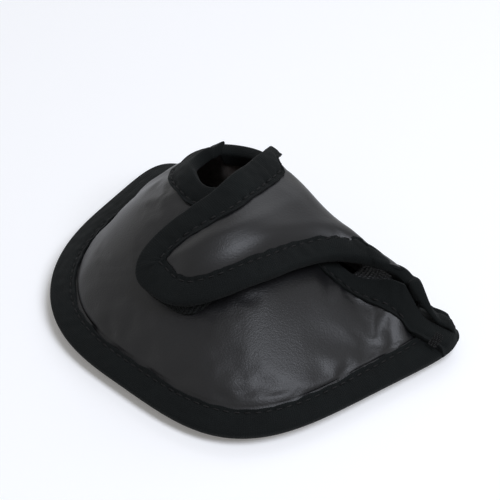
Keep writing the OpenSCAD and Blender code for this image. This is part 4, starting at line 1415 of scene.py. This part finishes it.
keep = (flap_t > 0.9) & (flap_t < FLAP_LAST - 0.9)
p, n = seam_line(flap_tape_at, flap_t[keep], lap[keep], TAPE_T + PLY_GAP - 0.2)
made = stitches("flap_stitches", p, n)
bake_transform(made)
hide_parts("flap_stitching")

# Round the part of the wall's edge that closes the neck behind the hosel.
neck_s = np.linspace(18.6, 23.8, 70) / 30
neck_lap = np.minimum(0.7 * TAPE_LAP, wall_span(neck_s) - 2)
inward, height = tape_section(neck_lap, EDGE_T, running(wall_at(neck_s, 1 + 0 * neck_s)), seed=61)
made = bind("neck_tape", wall_tape_at(neck_s, inward, height))
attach(made, "cover")

# ---- Joints --------------------------------------------------------------------------------
# A flat tape covers the seam of front panel and wall down to the heel, a ribbed elastic
# bridges the slit under the flap, and a bartack holds the tape's end at the toe corner.
SEAM_LEG = 4.0
seam_s = np.linspace(25.2, 28.9, 50) / 30
t = (seam_s - NECK_SHARE) / (1 - NECK_SHARE)
line = mix(heel_neck, heel_corner, (t * HEEL_REACH)[:, None])
side = unit(np.array([heel_corner[1] - heel_neck[1], heel_neck[0] - heel_corner[0]]))
level = PLY_GAP + TAPE_T / 2 + 0.1
legs = []
for share in np.linspace(1, 0, 9):
    q = line - side * SEAM_LEG * share
    legs.append(lift(q, tent(q)) + tent_normal(q) * level)
legs.append(wall_top(seam_s) + [0, level * 0.8, 0.3 + level])
for depth in np.linspace(0.3, 1.3, 8) * SEAM_LEG:
    v = 1 - depth / wall_span(seam_s)
    legs.append(wall_at(seam_s, v) + wall_normal(seam_s, v) * level)
strip = np.stack(legs, 1)
made = bind("heel_seam_cover", strip, thick=0.7)
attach(made, "cover")
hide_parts("heel_seam_tape")

ELASTIC_X, ELASTIC_W, ELASTIC_T, ELASTIC_TURN = 38.0, 10.0, 1.2, 5.0
RIB_MM, WEFT_ROWS = 1.1, 14
xs = ELASTIC_X + ELASTIC_W * np.linspace(-0.5, 0.5, 61)
edge = slit((slit_start[0] - xs) / (slit_start[0] - slit_in[0]))
q = edge - [0, ELASTIC_TURN]
s = FOLD_SHARE * (WALL_CORNER[0] - xs) / (WALL_CORNER[0] - FOLD_HEEL_X)
start = lift(q, tent(q)) - tent_normal(q) * (EDGE_T + TAPE_T + 4 * PLY_GAP + ELASTIC_T / 2)
start = start + settled(SLIT_N * (slit_start[0] - xs) / (slit_start[0] - slit_in[0]), 0.25)
v = 1 - 1.5 / wall_span(s)
end = wall_at(s, v) - wall_normal(s, 0.9 + 0 * s) * (EDGE_T + 3 * PLY_GAP + ELASTIC_T / 2)
out = start + [0, ELASTIC_TURN * 1.6, -0.5]
up = end - [0, ELASTIC_TURN * 0.3, ELASTIC_TURN]
t = np.linspace(0, 1, 60)
strip = mix(
    bezier(start[:, None], out[:, None], up[:, None], t[None, :]),
    bezier(out[:, None], up[:, None], end[:, None], t[None, :]),
    t[None, :, None],
)
normal = point_normals(strip.reshape(-1, 3), grid_faces(61, 60)).reshape(strip.shape)
ribs = 0.18 * np.sin(FULL_TURN * (xs - xs[0]) / RIB_MM)[:, None]
ribs = ribs + 0.12 * np.sin(FULL_TURN * WEFT_ROWS * t)[None, :]
strip = strip + normal * ribs[..., None]
# Elastic web: nylon woven over rubber threads, which raise it in ribs. Blue-black, with a dull
# sheen on each rib; the yarn is drawn at 0.5 mm so that it shows.
YARN_MM = 0.5
elastic_web, tree = new_material("elastic_web")
place = add(tree, "ShaderNodeTexCoord").outputs["Object"]
yarn = add(tree, "ShaderNodeTexNoise", {"Vector": place, "Scale": 1000 / YARN_MM, "Detail": 3})
tone = add(
    tree,
    "ShaderNodeMixRGB",
    {"Fac": yarn.outputs["Fac"], "Color1": colour("#0b0c0e"), "Color2": colour("#1d1f22")},
)
close_material(
    tree,
    {"Base Color": tone.outputs["Color"], "Roughness": 0.5, "Sheen Weight": 0.3},
    yarn.outputs["Fac"],
    depth_mm=0.2,
)
made = slab("elastic_strip", strip, grid_faces(61, 60), 0.5, 0.5, elastic_web)
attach(made, "cover")
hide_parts("elastic_bridge")

# Close zigzag stitches, drawn as bars of thread side by side.
bars = []
for i, a in enumerate(SLIT_END - 1.5 - np.linspace(0, 5.5, 9) * DEG_PER_MM):
    outs = np.linspace(0.4, 0.62, 12) * corner_reach
    p = flange(a + 0 * outs, outs, 2.9 + 0 * outs)
    n = flange(a + 0 * outs, outs, 3.9 + 0 * outs) - p
    bars.append((p if i % 2 else p[::-1], n))
p, n = (np.concatenate([b[k] for b in bars]) for k in (0, 1))
made = stitches("toe_corner_bartack", p, n, pitch=0.9, length=1.0, thick=0.5)
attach(made, "cover")
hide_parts("corner_bartack")

# ---- Studio --------------------------------------------------------------------------------
# A pale table in a white room, with a large soft light over the toe side and a weaker one
# behind. The table lies a hair under the sole, so that the two faces never coincide.


def seen_level(tree, unseen, seen):
    """One strength for rays that light the cover, another for rays that see the surface."""
    path = add(tree, "ShaderNodeLightPath")
    share = path.outputs["Is Camera Ray"]
    for ray in ("Is Glossy Ray", "Is Transmission Ray"):
        inputs = {0: share, 1: path.outputs[ray]}
        share = add(tree, "ShaderNodeMath", inputs, operation="MAXIMUM").outputs["Value"]
    level = add(tree, "ShaderNodeMapRange", {"Value": share, "To Min": unseen, "To Max": seen})
    return level.outputs["Result"]


# White paper lit from below as well: that part of its white is seen, but it throws no light on
# the cover.
TABLE_WHITE, TABLE_HALF, TABLE_Z = "#f6f6f6", 3.0, -0.0002
table_paint, tree = new_material("table_paint")
close_material(
    tree,
    {
        "Base Color": colour(TABLE_WHITE),
        "Roughness": 0.8,
        "Specular IOR Level": 0.2,
        "Emission Color": (1, 0.97, 0.93, 1),
        "Emission Strength": seen_level(tree, 0.0, 0.17),
    },
)
mesh = bpy.data.meshes.new("table_top")
mesh.from_pydata(
    [(x * TABLE_HALF, y * TABLE_HALF, TABLE_Z) for x, y in ((-1, -1), (1, -1), (1, 1), (-1, 1))],
    [],
    [(0, 1, 2, 3)],
)
mesh.materials.append(table_paint)
table_top = placed("table_top", mesh)

room = bpy.data.worlds.new("white_room")
bpy.context.scene.world = room
room.use_nodes = True
room.node_tree.nodes.clear()
tree = room.node_tree
sky = add(
    tree,
    "ShaderNodeBackground",
    {"Color": (1, 1, 1, 1), "Strength": seen_level(tree, 0.26, 1.0)},
)
add(tree, "ShaderNodeOutputWorld", {"Surface": sky.outputs["Background"]})


def softbox(name, way, distance, size, watts):
    light = bpy.data.lights.new(name, "AREA")
    light.shape, light.size, light.size_y, light.energy = "RECTANGLE", *size, watts
    light.color = (0.86, 0.9, 1.0)
    lamp = placed(name, light)
    way = np.array(way) / np.linalg.norm(way)
    lamp.location = way * distance
    lamp.rotation_euler = Vector(way).to_track_quat("Z", "Y").to_euler()


bpy.context.scene.view_settings.view_transform = "Standard"
softbox("overhead_softbox", (0.55, 0.04, 0.83), 1.4, (0.44, 0.95), 15.5)
softbox("back_softbox", (-0.3, 0.72, 0.62), 1.5, (1.2, 0.9), 4.0)

# The camera looks down at the toe and rear corner.
azimuth, elevation, CAMERA_AWAY = math.radians(44), math.radians(41), 0.620
camera_data = bpy.data.cameras.new("camera")
camera = placed("camera", camera_data)
bpy.context.scene.camera = camera
camera_data.sensor_width, camera_data.lens = 36, 133
camera_data.shift_x, camera_data.shift_y = 0.018, 0.098
camera_data.clip_start, camera_data.clip_end = 0.01, 20
level = math.cos(elevation)
back = Vector((math.sin(azimuth) * level, -math.cos(azimuth) * level, math.sin(elevation)))
camera.location = Vector((0, 0.010875, 0)) + back * CAMERA_AWAY
camera.rotation_euler = back.to_track_quat("Z", "Y").to_euler()
